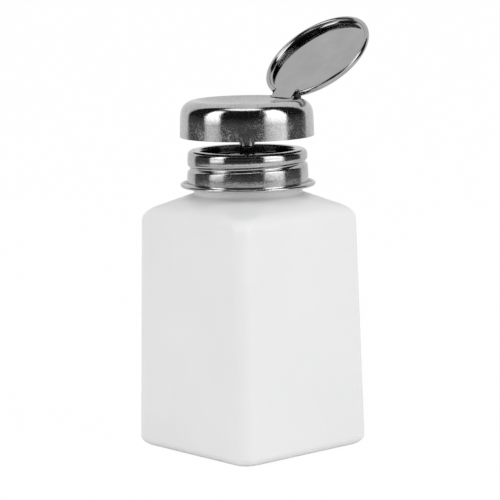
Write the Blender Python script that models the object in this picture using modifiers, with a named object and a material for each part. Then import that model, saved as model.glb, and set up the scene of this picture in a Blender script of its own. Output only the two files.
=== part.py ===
# Push-down nail polish remover pump: a square plastic bottle with a steel screw collar,
# a piston pump with two ball valves, a steel dispensing cup and its hinged lid.
# Units are metres, +Z is up, and the origin is the centre of the flat base.
# The lid stands open towards +Y, and the pump is up.

import math

import bpy
import bmesh
from mathutils import Matrix, Vector

COLLECTION_NAME = "nail_polish_remover_pump"

# Gaps between neighbouring pieces
SEAT_GAP = 0.0003
RUN_GAP = 0.0003
BALL_GAP = 0.0001

# Facets round a turn, and along an arc
WIDE_SIDES = 36
SMALL_SIDES = 24
CORNER_STEPS = 9
ARC_STEPS = 5

# Bottle
BASE_SIDE = 0.0620
TOP_SIDE = 0.0587
BODY_HEIGHT = 0.0875
CORNER_RADIUS = 0.0052
FOOT_RADIUS = 0.0035
SHOULDER_RISE = 0.0065
SHOULDER_ROUND = 0.0035
NECK_ROUND = 0.0008
BOTTLE_WALL = 0.0015
NECK_RADIUS = 0.0199
NECK_HEIGHT = 0.0142

# Neck thread, six turns to the inch, right-handed
INCH = 0.0254
THREADS_PER_INCH = 6
THREAD_DEPTH = 0.0011
THREAD_CREST = 0.0009
THREAD_ROOT = 0.0020
THREAD_TOP_DROP = 0.0012
THREAD_TURNS = 0.97

# Steel screw collar
COLLAR_SHEET = 0.0005
BEAD_CLEARANCE = 0.0004
BAND_CLEARANCE = 0.0007
THREAD_GRIP = 0.0004
ROLL_HALF_WIDTH = 0.0014
ROLL_DROP = 0.0055
ROLL_TURNS = 1.0
ROLL_FADE_TURNS = 0.08
ROLL_MIDDLE_ANGLE = math.radians(319.0)
RIM_ROUND = 0.0016
BOWL_ROUND = 0.0010
BOWL_DEPTH = 0.0035
BOWL_CLEARANCE = 0.0005
FLANGE_RISE = 0.0027
FLANGE_REACH = 0.0026
CURL_RADIUS = 0.00065
FLARE_RADIUS = 0.0008
ROLL_ROW = 0.0009
GASKET_THICKNESS = 0.0007

# Pump cylinder, guide bush and valves
BARREL_BORE = 0.0055
BARREL_WALL = 0.0014
CYLINDER_FLANGE_RADIUS = 0.0100
CYLINDER_FLANGE_THICKNESS = 0.0018
WASHER_THICKNESS = 0.0008
BUSH_FLANGE_RADIUS = 0.0080
BUSH_FLANGE_THICKNESS = 0.0010
BUSH_REACH = 0.0046
SEAL_HEIGHT = 0.0012
SEAL_WIDTH = 0.0011
SEAL_GAP = 0.00015
PISTON_LENGTH = 0.0070
PISTON_WAIST_DEPTH = 0.0006
PISTON_LIP = 0.0014
PISTON_SOCKET = 0.0045
PUMP_STROKE = 0.0090
SPRING_WIRE = 0.0008
SPRING_TURNS = 7
SPRING_SLACK = 0.0008
SPRING_CURL_POINTS = 10
INLET_BALL_RADIUS = 0.00238
OUTLET_BALL_RADIUS = 0.0020
BALL_LIFT = 0.0010
BALL_SIDE_GAP = 0.0005
SEAT_HOLE_SHARE = 0.6
SEAT_THICKNESS = 0.0015
CAGE_WEB = 0.0012
CAGE_SLOT_WIDTH = 0.0010
CAGE_SLOTS = 3
TUBE_RADIUS = 0.0030
TUBE_WALL = 0.0007
TUBE_SOCKET_LENGTH = 0.0090
TUBE_SOCKET_WALL = 0.0012
TUBE_FOOT_GAP = 0.0030
TUBE_CUT_ANGLE = math.radians(35.0)

# Stem and the pieces that clamp the cup on it
STEM_RADIUS = 0.00295
STEM_BORE = 0.0017
HUB_RADIUS = 0.0055
HUB_FLANGE_RADIUS = 0.0090
HUB_FLANGE_THICKNESS = 0.0014
NOZZLE_FLANGE_RADIUS = 0.0060
NOZZLE_THICKNESS = 0.0004
NOZZLE_WALL = 0.0010
NOZZLE_HOLE_RADIUS = 0.00045
NOZZLE_HOLES = 5

# Dispensing cup
HEAD_RISE = 0.0050
CUP_HEIGHT = 0.0133
CUP_SHEET = 0.0006
CUP_FILLET = 0.0055
CUP_DRAFT = 0.00015
SKIRT_CLEARANCE = 0.00165
DISH_DEPTH = 0.0025
DISH_POWER = 5
DISH_STEPS = 4

# Lid and hinge
LID_INSET = 0.00285
LID_SHEET = 0.00045
LID_EDGE_ROUND = 0.0022
LID_STRAIGHT = 0.0008
LID_RING_WIDTH = 0.0021
LID_OPEN_ANGLE = math.radians(141.0)
STRAP_WIDTH = 0.0108
STRAP_INSET = 0.00002
TAB_LENGTH = 0.0021
PIN_RADIUS = 0.00055
PIN_OVERHANG = 0.0001
KNUCKLE_CLEARANCE = 0.0002
KNUCKLE_SINK = 0.0003
KNUCKLE_LAP = 0.0001
EAR_THICKNESS = 0.0007
EAR_MARGIN = 0.00075
EAR_SPREAD = 0.0018
BRACKET_SHEET = 0.0006
BRACKET_HUB_GAP = 0.00235

CUT_OVERRUN = 0.0010
MERGE_DISTANCE = 0.000001

# Heights worked out from the base up
THREAD_PITCH = INCH / THREADS_PER_INCH
NECK_FOOT_Z = BODY_HEIGHT + SHOULDER_RISE
NECK_TOP_Z = NECK_FOOT_Z + NECK_HEIGHT
NECK_BORE = NECK_RADIUS - BOTTLE_WALL
CREST_RADIUS = NECK_RADIUS + THREAD_DEPTH
BEAD_RADIUS = CREST_RADIUS + BEAD_CLEARANCE + COLLAR_SHEET
BAND_RADIUS = CREST_RADIUS + BAND_CLEARANCE + COLLAR_SHEET
ROLL_RADIUS = CREST_RADIUS - THREAD_GRIP + COLLAR_SHEET
RIM_Z = NECK_TOP_Z + SEAT_GAP + GASKET_THICKNESS + SEAT_GAP + COLLAR_SHEET
BOWL_Z = RIM_Z - BOWL_DEPTH
BOWL_RADIUS = NECK_BORE - BOWL_CLEARANCE - COLLAR_SHEET
FLANGE_Z = NECK_FOOT_Z + FLANGE_RISE
FLANGE_RADIUS = BAND_RADIUS + FLANGE_REACH
THREAD_TOP_Z = NECK_TOP_Z - THREAD_TOP_DROP
ROLL_Z = RIM_Z - ROLL_DROP
THREAD_OVER_ROLL = THREAD_CREST / 2 + ROLL_HALF_WIDTH / 2 + SEAT_GAP
BUSH_RADIUS = BARREL_BORE - RUN_GAP
BUSH_BORE = STEM_RADIUS + RUN_GAP
BUSH_TOP_Z = BOWL_Z + SEAT_GAP + BUSH_FLANGE_THICKNESS
WASHER_TOP_Z = BOWL_Z - COLLAR_SHEET - SEAT_GAP
CYLINDER_TOP_Z = WASHER_TOP_Z - WASHER_THICKNESS - SEAT_GAP
BUSH_BOTTOM_Z = CYLINDER_TOP_Z - BUSH_REACH
PISTON_TOP_Z = BUSH_BOTTOM_Z - SEAT_GAP
PISTON_BOTTOM_Z = PISTON_TOP_Z - PISTON_LENGTH
SPRING_LENGTH = PUMP_STROKE + (SPRING_TURNS + 1) * SPRING_WIRE + SPRING_SLACK
SPRING_TOP_Z = PISTON_BOTTOM_Z - SEAT_GAP
CAGE_TOP_Z = SPRING_TOP_Z - SPRING_LENGTH - SEAT_GAP
INLET_SEAT_HOLE = INLET_BALL_RADIUS * SEAT_HOLE_SHARE
INLET_BALL_RISE = math.sqrt(INLET_BALL_RADIUS**2 - INLET_SEAT_HOLE**2) + BALL_GAP
INLET_SEAT_Z = CAGE_TOP_Z - CAGE_WEB - SEAT_GAP - BALL_LIFT - INLET_BALL_RADIUS - INLET_BALL_RISE
SOCKET_TOP_Z = INLET_SEAT_Z - SEAT_THICKNESS
SOCKET_BOTTOM_Z = SOCKET_TOP_Z - TUBE_SOCKET_LENGTH
CUP_BOTTOM_Z = RIM_Z + HEAD_RISE
CUP_TOP_Z = CUP_BOTTOM_Z + CUP_HEIGHT
CUP_RADIUS = BAND_RADIUS + SKIRT_CLEARANCE + CUP_SHEET
DISH_RADIUS = CUP_RADIUS - CUP_FILLET
DISH_Z = CUP_TOP_Z - DISH_DEPTH
HUB_TOP_Z = DISH_Z - CUP_SHEET - SEAT_GAP - WASHER_THICKNESS - SEAT_GAP
HUB_BOTTOM_Z = BUSH_TOP_Z + PUMP_STROKE + SEAT_GAP
NOZZLE_Z = DISH_Z + SEAT_GAP
OUTLET_SEAT_HOLE = OUTLET_BALL_RADIUS * SEAT_HOLE_SHARE
OUTLET_BALL_RISE = math.sqrt(OUTLET_BALL_RADIUS**2 - OUTLET_SEAT_HOLE**2) + BALL_GAP
OUTLET_SEAT_Z = NOZZLE_Z - SEAT_GAP - BALL_LIFT - OUTLET_BALL_RADIUS - OUTLET_BALL_RISE
NOZZLE_BORE = OUTLET_BALL_RADIUS + BALL_SIDE_GAP
SHANK_RADIUS = NOZZLE_BORE + NOZZLE_WALL
HUB_CHAMBER = SHANK_RADIUS + SEAT_GAP
DISH_HOLE = SHANK_RADIUS + SEAT_GAP
STEM_TOP_Z = OUTLET_SEAT_Z - SEAT_THICKNESS - SEAT_GAP
STEM_BOTTOM_Z = PISTON_TOP_Z - PISTON_SOCKET
LID_RADIUS = CUP_RADIUS - LID_INSET
LID_SEAT_Z = CUP_TOP_Z + SEAT_GAP
LID_HEIGHT = LID_EDGE_ROUND + LID_STRAIGHT
KNUCKLE_BORE = PIN_RADIUS + KNUCKLE_CLEARANCE
KNUCKLE_RADIUS = KNUCKLE_BORE + LID_SHEET
KNUCKLE_RISE = KNUCKLE_RADIUS - KNUCKLE_SINK
HINGE_RADIUS = LID_RADIUS - LID_SHEET - KNUCKLE_RADIUS + KNUCKLE_LAP
HINGE_Z = LID_SEAT_Z + KNUCKLE_RISE
TAB_REACH = LID_RADIUS + TAB_LENGTH - HINGE_RADIUS
SWEEP_RADIUS = math.sqrt(TAB_REACH**2 + KNUCKLE_RISE**2) + SEAT_GAP
EAR_RADIUS = PIN_RADIUS + EAR_MARGIN
EAR_INNER = STRAP_WIDTH / 2 + SEAT_GAP
EAR_OUTER = EAR_INNER + EAR_THICKNESS
PIN_HALF_LENGTH = EAR_OUTER + PIN_OVERHANG
SLOT_HALF_WIDTH = EAR_OUTER + SEAT_GAP
NOTCH_HALF_WIDTH = PIN_HALF_LENGTH + SEAT_GAP

MATERIALS = {
    "white_hdpe": ((0.90, 0.90, 0.89), 0.38, 0.0),
    "steel": ((0.72, 0.72, 0.72), 0.10, 1.0),
    "pump_plastic": ((0.85, 0.86, 0.86), 0.45, 0.0),
    "clear_tube": ((0.88, 0.90, 0.90), 0.30, 0.0),
    "seal_rubber": ((0.10, 0.10, 0.10), 0.70, 0.0),
    "foam": ((0.93, 0.93, 0.92), 0.80, 0.0),
}


def clear_scene():
    for item in list(bpy.data.objects):
        bpy.data.objects.remove(item, do_unlink=True)


def new_collection(name):
    collection = bpy.data.collections.new(name)
    bpy.context.scene.collection.children.link(collection)
    return collection


clear_scene()
PARTS = new_collection(COLLECTION_NAME)
CUTTERS = new_collection("cutters")


def material(name):
    found = bpy.data.materials.get(name)
    if found:
        return found
    colour, roughness, metallic = MATERIALS[name]
    made = bpy.data.materials.new(name)
    made.use_nodes = True
    shader = made.node_tree.nodes["Principled BSDF"]
    shader.inputs["Base Color"].default_value = (*colour, 1.0)
    shader.inputs["Roughness"].default_value = roughness
    shader.inputs["Metallic"].default_value = metallic
    made.diffuse_color = (*colour, 1.0)
    return made


def smooth(mesh):
    mesh.shade_smooth()
    mesh.set_sharp_from_angle(angle=math.radians(35.0))


def add_object(name, mesh, material_name, location=(0.0, 0.0, 0.0)):
    made = bpy.data.objects.new(name, mesh)
    made.location = location
    mesh.materials.clear()
    mesh.materials.append(material(material_name))
    PARTS.objects.link(made)
    return made


def cutter(name, mesh, matrix=None):
    made = bpy.data.objects.new(name, mesh)
    if matrix is not None:
        made.matrix_world = matrix
    made.hide_render = True
    made.display_type = "WIRE"
    CUTTERS.objects.link(made)
    return made


def evaluated_mesh(item):
    bpy.context.view_layer.update()
    graph = bpy.context.evaluated_depsgraph_get()
    return bpy.data.meshes.new_from_object(item.evaluated_get(graph))


def boolean(item, other, operation):
    step = item.modifiers.new(operation.lower(), "BOOLEAN")
    step.operation = operation
    step.solver = "EXACT"
    step.object = other


# Outlines in a plane

def arc(centre, radius, start, end, steps=ARC_STEPS):
    """Points along an arc, angles in degrees from the first axis."""
    points = []
    for index in range(steps + 1):
        angle = math.radians(start + (end - start) * index / steps)
        points.append((centre[0] + radius * math.cos(angle), centre[1] + radius * math.sin(angle)))
    return points


def ring(inner, outer, low, high):
    """Closed outline of a plain ring, down its outer side."""
    return [(outer, high), (outer, low), (inner, low), (inner, high)]


def offset_path(path, distance):
    """The path moved to its right hand by a distance, with mitred corners."""
    moved = []
    for index, point in enumerate(path):
        before = Vector(path[max(index - 1, 0)])
        here = Vector(point)
        after = Vector(path[min(index + 1, len(path) - 1)])
        first = (here - before) if index else (after - here)
        last = (after - here) if index < len(path) - 1 else first
        first_normal = Vector((first.y, -first.x)).normalized()
        last_normal = Vector((last.y, -last.x)).normalized()
        mitre = (first_normal + last_normal).normalized()
        moved.append(tuple(here + mitre * distance / mitre.dot(first_normal)))
    return moved


def sheet_outline(path, thickness):
    """Closed outline of a sheet that lies on the right hand of a path."""
    return list(path) + list(reversed(offset_path(path, thickness)))


# Solids

def turned_mesh(name, outline, sides, closed=True):
    """A profile turned about Z with a Screw modifier."""
    profile = bpy.data.meshes.new(name + "_profile")
    count = len(outline)
    edges = [(index, (index + 1) % count) for index in range(count if closed else count - 1)]
    profile.from_pydata([(r, 0.0, z) for r, z in outline], edges, [])
    turner = bpy.data.objects.new(name + "_turner", profile)
    CUTTERS.objects.link(turner)
    screw = turner.modifiers.new("turn", "SCREW")
    screw.axis = "Z"
    screw.angle = math.tau
    screw.steps = sides
    screw.render_steps = sides
    screw.use_merge_vertices = True
    screw.merge_threshold = MERGE_DISTANCE
    mesh = evaluated_mesh(turner)
    mesh.name = name
    bpy.data.objects.remove(turner)
    smooth(mesh)
    return mesh


def box_mesh(name, low, high):
    mesh = bpy.data.meshes.new(name)
    cage = bmesh.new()
    bmesh.ops.create_cube(cage, size=1.0)
    size = Vector(high) - Vector(low)
    middle = (Vector(high) + Vector(low)) / 2
    bmesh.ops.scale(cage, vec=size, verts=cage.verts)
    bmesh.ops.translate(cage, vec=middle, verts=cage.verts)
    cage.to_mesh(mesh)
    cage.free()
    return mesh


def rod_mesh(name, radius, low, high, sides=SMALL_SIDES):
    """A cylinder along Z."""
    mesh = bpy.data.meshes.new(name)
    cage = bmesh.new()
    bmesh.ops.create_cone(
        cage, cap_ends=True, segments=sides, radius1=radius, radius2=radius, depth=high - low,
        matrix=Matrix.Translation((0.0, 0.0, (low + high) / 2)))
    cage.to_mesh(mesh)
    cage.free()
    smooth(mesh)
    return mesh


def plate_mesh(name, outline, width):
    """An outline in Y and Z, extruded along X with its middle at X zero."""
    curve = bpy.data.curves.new(name + "_curve", "CURVE")
    curve.dimensions = "2D"
    curve.fill_mode = "BOTH"
    curve.extrude = width / 2
    spline = curve.splines.new("POLY")
    spline.points.add(len(outline) - 1)
    for point, (across, up) in zip(spline.points, outline):
        point.co = (across, up, 0.0, 1.0)
    spline.use_cyclic_u = True
    holder = bpy.data.objects.new(name + "_holder", curve)
    CUTTERS.objects.link(holder)
    mesh = evaluated_mesh(holder)
    mesh.name = name
    bpy.data.objects.remove(holder)
    cage = bmesh.new()
    cage.from_mesh(mesh)
    bmesh.ops.remove_doubles(cage, verts=cage.verts, dist=MERGE_DISTANCE)
    turn = Matrix(((0.0, 0.0, 1.0, 0.0), (1.0, 0.0, 0.0, 0.0), (0.0, 1.0, 0.0, 0.0), (0.0, 0.0, 0.0, 1.0)))
    bmesh.ops.transform(cage, matrix=turn, verts=cage.verts)
    bmesh.ops.recalc_face_normals(cage, faces=cage.faces)
    cage.to_mesh(mesh)
    cage.free()
    return mesh


def ball_mesh(name, radius):
    mesh = bpy.data.meshes.new(name)
    cage = bmesh.new()
    bmesh.ops.create_uvsphere(cage, u_segments=14, v_segments=8, radius=radius)
    cage.to_mesh(mesh)
    cage.free()
    mesh.shade_smooth()
    return mesh


# Bottle

def rounded_square(half_side, radius, height):
    """Points round a square with round corners, which is a circle when the two are equal."""
    points = []
    for corner in range(4):
        for index in range(CORNER_STEPS):
            angle = math.radians(90.0) * (corner + (index + 0.5) / CORNER_STEPS)
            turn = math.radians(90.0) * corner
            reach = half_side - radius
            centre_x = reach * (math.cos(turn) - math.sin(turn))
            centre_y = reach * (math.cos(turn) + math.sin(turn))
            points.append((centre_x + radius * math.cos(angle), centre_y + radius * math.sin(angle), height))
    return points


def blend(first, middle, last, share):
    """A point on the curve that leaves first for middle and ends at last from middle."""
    near = [a + (b - a) * share for a, b in zip(first, middle)]
    far = [a + (b - a) * share for a, b in zip(middle, last)]
    return tuple(a + (b - a) * share for a, b in zip(near, far))


def along(first, last, distance):
    """The state that lies a distance in height and width along the way from first to last."""
    length = math.hypot(last[0] - first[0], last[2] - first[2])
    return tuple(a + (b - a) * distance / length for a, b in zip(first, last))


def bottle_rows():
    """Half side, corner radius and height of each row, from the foot to the neck rim."""
    base_half = BASE_SIDE / 2
    top_half = TOP_SIDE / 2
    rows = []
    for index in range(ARC_STEPS):
        angle = math.radians(90.0) * index / ARC_STEPS
        inset = FOOT_RADIUS * (1 - math.sin(angle))
        height = FOOT_RADIUS * (1 - math.cos(angle))
        rows.append((base_half - inset, CORNER_RADIUS, height))
    lean = (base_half - top_half) * FOOT_RADIUS / BODY_HEIGHT
    rows.append((base_half - lean, CORNER_RADIUS, FOOT_RADIUS))
    edge = (top_half, CORNER_RADIUS, BODY_HEIGHT)
    neck = (NECK_RADIUS, NECK_RADIUS, NECK_FOOT_Z)
    wall_end = along(edge, rows[-1], SHOULDER_ROUND)
    slope_start = along(edge, neck, SHOULDER_ROUND)
    rows += [blend(wall_end, edge, slope_start, index / ARC_STEPS) for index in range(ARC_STEPS + 1)]
    slope_end = along(neck, edge, NECK_ROUND)
    neck_start = (NECK_RADIUS, NECK_RADIUS, NECK_FOOT_Z + NECK_ROUND)
    rows += [blend(slope_end, neck, neck_start, index / 2) for index in range(3)]
    rows.append((NECK_RADIUS, NECK_RADIUS, NECK_TOP_Z))
    return rows


def make_bottle():
    mesh = bpy.data.meshes.new("bottle")
    cage = bmesh.new()
    loops = [[cage.verts.new(point) for point in rounded_square(*row)] for row in bottle_rows()]
    cage.faces.new(list(reversed(loops[0])))
    for low, high in zip(loops, loops[1:]):
        for index in range(len(low)):
            after = (index + 1) % len(low)
            cage.faces.new((low[index], low[after], high[after], high[index]))
    cage.to_mesh(mesh)
    cage.free()
    smooth(mesh)
    bottle = add_object("bottle", mesh, "white_hdpe")
    wall = bottle.modifiers.new("wall", "SOLIDIFY")
    wall.thickness = BOTTLE_WALL
    wall.offset = -1.0
    wall.use_even_offset = True
    boolean(bottle, cutter("neck_thread", thread_mesh()), "UNION")


def thread_mesh():
    """The ridge that winds up the neck, below its rim, closed at both ends."""
    low = THREAD_TOP_Z - THREAD_PITCH * THREAD_TURNS
    sink = NECK_RADIUS - BOTTLE_WALL / 2
    outline = [
        (CREST_RADIUS, low + THREAD_CREST / 2),
        (CREST_RADIUS, low - THREAD_CREST / 2),
        (sink, low - THREAD_ROOT / 2),
        (sink, low + THREAD_ROOT / 2),
    ]
    profile = bpy.data.meshes.new("thread_profile")
    profile.from_pydata([(r, 0.0, z) for r, z in outline], [(0, 1), (1, 2), (2, 3), (3, 0)], [])
    turner = bpy.data.objects.new("thread_turner", profile)
    CUTTERS.objects.link(turner)
    screw = turner.modifiers.new("turn", "SCREW")
    screw.axis = "Z"
    screw.angle = math.tau * THREAD_TURNS
    screw.screw_offset = THREAD_PITCH * THREAD_TURNS
    screw.steps = WIDE_SIDES
    screw.render_steps = WIDE_SIDES
    screw.merge_threshold = MERGE_DISTANCE
    mesh = evaluated_mesh(turner)
    bpy.data.objects.remove(turner)
    cage = bmesh.new()
    cage.from_mesh(mesh)
    bmesh.ops.holes_fill(cage, edges=[edge for edge in cage.edges if edge.is_boundary])
    bmesh.ops.recalc_face_normals(cage, faces=cage.faces)
    start = ROLL_MIDDLE_ANGLE + math.tau * (low - ROLL_Z - THREAD_OVER_ROLL) / THREAD_PITCH
    bmesh.ops.rotate(cage, matrix=Matrix.Rotation(start, 3, "Z"), verts=cage.verts)
    cage.to_mesh(mesh)
    cage.free()
    return mesh


# Collar and the pieces clamped in it

def wall_radius(height):
    """Outer radius of the collar's side, which widens a little towards its band."""
    low = FLANGE_Z + 2 * CURL_RADIUS
    high = RIM_Z - RIM_ROUND
    share = (high - height) / (high - low)
    return BEAD_RADIUS + (BAND_RADIUS - BEAD_RADIUS) * min(max(share, 0.0), 1.0)


def collar_path():
    """The collar's outer face, from the hole in its bowl to the curled edge of its flange."""
    path = [(BUSH_RADIUS + SEAT_GAP, BOWL_Z)]
    path += arc((BOWL_RADIUS - BOWL_ROUND, BOWL_Z + BOWL_ROUND), BOWL_ROUND, -90.0, 0.0, 2)
    path += arc((BOWL_RADIUS + BOWL_ROUND, RIM_Z - BOWL_ROUND), BOWL_ROUND, 180.0, 90.0, 2)
    path += arc((BEAD_RADIUS - RIM_ROUND, RIM_Z - RIM_ROUND), RIM_ROUND, 90.0, 0.0, 3)
    top = RIM_Z - RIM_ROUND
    flange_top = FLANGE_Z + 2 * CURL_RADIUS
    bottom = flange_top + FLARE_RADIUS
    rows = round((top - bottom) / ROLL_ROW)
    for row in range(1, rows):
        height = top + (bottom - top) * row / rows
        path.append((wall_radius(height), height))
    path += arc((BAND_RADIUS + FLARE_RADIUS, bottom), FLARE_RADIUS, 180.0, 270.0, 2)
    path += arc((FLANGE_RADIUS - CURL_RADIUS, FLANGE_Z + CURL_RADIUS), CURL_RADIUS, 90.0, -110.0, 4)
    return path


def roll_depth(angle, height):
    """How far the rolled thread draws the collar's side in at a place."""
    depth = 0.0
    for turn in (-1, 0, 1, 2):
        wound = (angle + math.tau * turn - ROLL_MIDDLE_ANGLE) / math.tau
        if abs(wound) > ROLL_TURNS / 2:
            continue
        centre = ROLL_Z + THREAD_PITCH * wound
        away = abs(height - centre)
        if away > ROLL_HALF_WIDTH:
            continue
        fade = min(1.0, (ROLL_TURNS / 2 - abs(wound)) / ROLL_FADE_TURNS)
        bump = math.cos(math.pi / 2 * away / ROLL_HALF_WIDTH) ** 2
        depth = max(depth, fade * bump * (wall_radius(height) - ROLL_RADIUS))
    return depth


def make_collar():
    mesh = turned_mesh("screw_collar", sheet_outline(collar_path(), COLLAR_SHEET), WIDE_SIDES)
    lowest = FLANGE_Z + 2 * CURL_RADIUS + FLARE_RADIUS
    for vertex in mesh.vertices:
        radius = math.hypot(vertex.co.x, vertex.co.y)
        if radius < BOWL_RADIUS + BOWL_ROUND + RIM_ROUND or not lowest < vertex.co.z < RIM_Z - RIM_ROUND:
            continue
        angle = math.atan2(vertex.co.y, vertex.co.x)
        drawn = 1 - roll_depth(angle, vertex.co.z) / radius
        vertex.co.x *= drawn
        vertex.co.y *= drawn
    smooth(mesh)
    add_object("screw_collar", mesh, "steel")


def make_collar_pieces():
    gasket_low = NECK_TOP_Z + SEAT_GAP
    gasket = ring(NECK_BORE, NECK_RADIUS, gasket_low, gasket_low + GASKET_THICKNESS)
    add_object("neck_gasket", turned_mesh("neck_gasket", gasket, WIDE_SIDES), "foam")
    washer_low = WASHER_TOP_Z - WASHER_THICKNESS
    washer = ring(BUSH_RADIUS + SEAT_GAP, CYLINDER_FLANGE_RADIUS, washer_low, WASHER_TOP_Z)
    add_object("cylinder_washer", turned_mesh("cylinder_washer", washer, SMALL_SIDES), "foam")
    pocket = BUSH_BORE + SEAL_WIDTH
    bush = [
        (BUSH_FLANGE_RADIUS, BUSH_TOP_Z),
        (BUSH_FLANGE_RADIUS, BUSH_TOP_Z - BUSH_FLANGE_THICKNESS),
        (BUSH_RADIUS, BUSH_TOP_Z - BUSH_FLANGE_THICKNESS),
        (BUSH_RADIUS, BUSH_BOTTOM_Z),
        (pocket, BUSH_BOTTOM_Z),
        (pocket, BUSH_BOTTOM_Z + SEAL_HEIGHT + SEAT_GAP),
        (BUSH_BORE, BUSH_BOTTOM_Z + SEAL_HEIGHT + SEAT_GAP),
        (BUSH_BORE, BUSH_TOP_Z),
    ]
    add_object("guide_bush", turned_mesh("guide_bush", bush, SMALL_SIDES), "pump_plastic")
    seal = ring(STEM_RADIUS + SEAL_GAP, pocket - SEAL_GAP, BUSH_BOTTOM_Z, BUSH_BOTTOM_Z + SEAL_HEIGHT)
    add_object("stem_seal", turned_mesh("stem_seal", seal, SMALL_SIDES), "seal_rubber")


def make_cylinder():
    outer = BARREL_BORE + BARREL_WALL
    socket = TUBE_RADIUS + SEAT_GAP
    socket_outer = socket + TUBE_SOCKET_WALL
    taper = outer - socket_outer
    flange_bottom = CYLINDER_TOP_Z - CYLINDER_FLANGE_THICKNESS
    outline = [
        (CYLINDER_FLANGE_RADIUS, CYLINDER_TOP_Z),
        (CYLINDER_FLANGE_RADIUS, flange_bottom),
        (outer, flange_bottom),
        (outer, SOCKET_TOP_Z),
        (socket_outer, SOCKET_TOP_Z - taper),
        (socket_outer, SOCKET_BOTTOM_Z),
        (socket, SOCKET_BOTTOM_Z),
        (socket, SOCKET_TOP_Z),
        (INLET_SEAT_HOLE, SOCKET_TOP_Z),
        (INLET_SEAT_HOLE, INLET_SEAT_Z),
        (BARREL_BORE, INLET_SEAT_Z),
        (BARREL_BORE, CYLINDER_TOP_Z),
    ]
    add_object("pump_cylinder", turned_mesh("pump_cylinder", outline, SMALL_SIDES), "pump_plastic")


def make_dip_tube():
    low = BOTTLE_WALL + TUBE_FOOT_GAP
    outline = ring(TUBE_RADIUS - TUBE_WALL, TUBE_RADIUS, low, SOCKET_TOP_Z - SEAT_GAP)
    tube = add_object("dip_tube", turned_mesh("dip_tube", outline, SMALL_SIDES), "clear_tube")
    reach = 4 * TUBE_RADIUS
    block = box_mesh("dip_tube_cut", (-reach, -reach, -reach), (reach, reach, 0.0))
    slant = Matrix.Rotation(TUBE_CUT_ANGLE, 4, "Y")
    place = Matrix.Translation((TUBE_RADIUS + CUT_OVERRUN, 0.0, low)) @ slant
    boolean(tube, cutter("dip_tube_cut", block, place), "DIFFERENCE")


def make_inlet_valve():
    outer = BARREL_BORE - RUN_GAP
    inner = INLET_BALL_RADIUS + BALL_SIDE_GAP
    outline = [
        (outer, CAGE_TOP_Z),
        (outer, INLET_SEAT_Z + SEAT_GAP),
        (inner, INLET_SEAT_Z + SEAT_GAP),
        (inner, CAGE_TOP_Z - CAGE_WEB),
        (INLET_SEAT_HOLE, CAGE_TOP_Z - CAGE_WEB),
        (INLET_SEAT_HOLE, CAGE_TOP_Z),
    ]
    cage = add_object("inlet_cage", turned_mesh("inlet_cage", outline, SMALL_SIDES), "pump_plastic")
    reach = INLET_BALL_RADIUS + BALL_SIDE_GAP / 2
    for index in range(CAGE_SLOTS):
        bar = box_mesh(
            "cage_slot", (-reach, -CAGE_SLOT_WIDTH / 2, CAGE_TOP_Z - CAGE_WEB - CAGE_WEB / 2),
            (reach, CAGE_SLOT_WIDTH / 2, CAGE_TOP_Z + CUT_OVERRUN))
        place = Matrix.Rotation(math.pi * index / CAGE_SLOTS, 4, "Z")
        boolean(cage, cutter("cage_slot_%d" % (index + 1), bar, place), "DIFFERENCE")
    centre = (0.0, 0.0, INLET_SEAT_Z + INLET_BALL_RISE)
    add_object("inlet_ball", ball_mesh("inlet_ball", INLET_BALL_RADIUS), "steel", centre)


def make_spring():
    """Return spring between the inlet cage and the piston."""
    radius = BARREL_BORE - RUN_GAP - SPRING_WIRE
    start = CAGE_TOP_Z + SEAT_GAP + SPRING_WIRE / 2
    rise = SPRING_LENGTH - SPRING_WIRE
    curve = bpy.data.curves.new("return_spring_curve", "CURVE")
    curve.dimensions = "3D"
    curve.bevel_depth = SPRING_WIRE / 2
    curve.bevel_resolution = 1
    curve.use_fill_caps = True
    count = SPRING_TURNS * SPRING_CURL_POINTS
    spline = curve.splines.new("POLY")
    spline.points.add(count)
    for index, point in enumerate(spline.points):
        share = index / count
        angle = math.tau * SPRING_TURNS * share
        point.co = (radius * math.cos(angle), radius * math.sin(angle), start + rise * share, 1.0)
    holder = bpy.data.objects.new("return_spring_holder", curve)
    CUTTERS.objects.link(holder)
    mesh = evaluated_mesh(holder)
    bpy.data.objects.remove(holder)
    cage = bmesh.new()
    cage.from_mesh(mesh)
    bmesh.ops.remove_doubles(cage, verts=cage.verts, dist=MERGE_DISTANCE)
    bmesh.ops.recalc_face_normals(cage, faces=cage.faces)
    cage.to_mesh(mesh)
    cage.free()
    mesh.shade_smooth()
    add_object("return_spring", mesh, "steel")


def make_piston():
    outer = BARREL_BORE - RUN_GAP
    waist = outer - PISTON_WAIST_DEPTH
    socket = STEM_RADIUS + SEAT_GAP
    outline = [
        (outer, PISTON_TOP_Z),
        (outer, PISTON_TOP_Z - PISTON_LIP),
        (waist, PISTON_TOP_Z - PISTON_LIP - PISTON_WAIST_DEPTH),
        (waist, PISTON_BOTTOM_Z + PISTON_LIP + PISTON_WAIST_DEPTH),
        (outer, PISTON_BOTTOM_Z + PISTON_LIP),
        (outer, PISTON_BOTTOM_Z),
        (STEM_BORE, PISTON_BOTTOM_Z),
        (STEM_BORE, STEM_BOTTOM_Z - SEAT_GAP),
        (socket, STEM_BOTTOM_Z - SEAT_GAP),
        (socket, PISTON_TOP_Z),
    ]
    add_object("piston", turned_mesh("piston", outline, SMALL_SIDES), "pump_plastic")


# Stem, hub and nozzle

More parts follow.
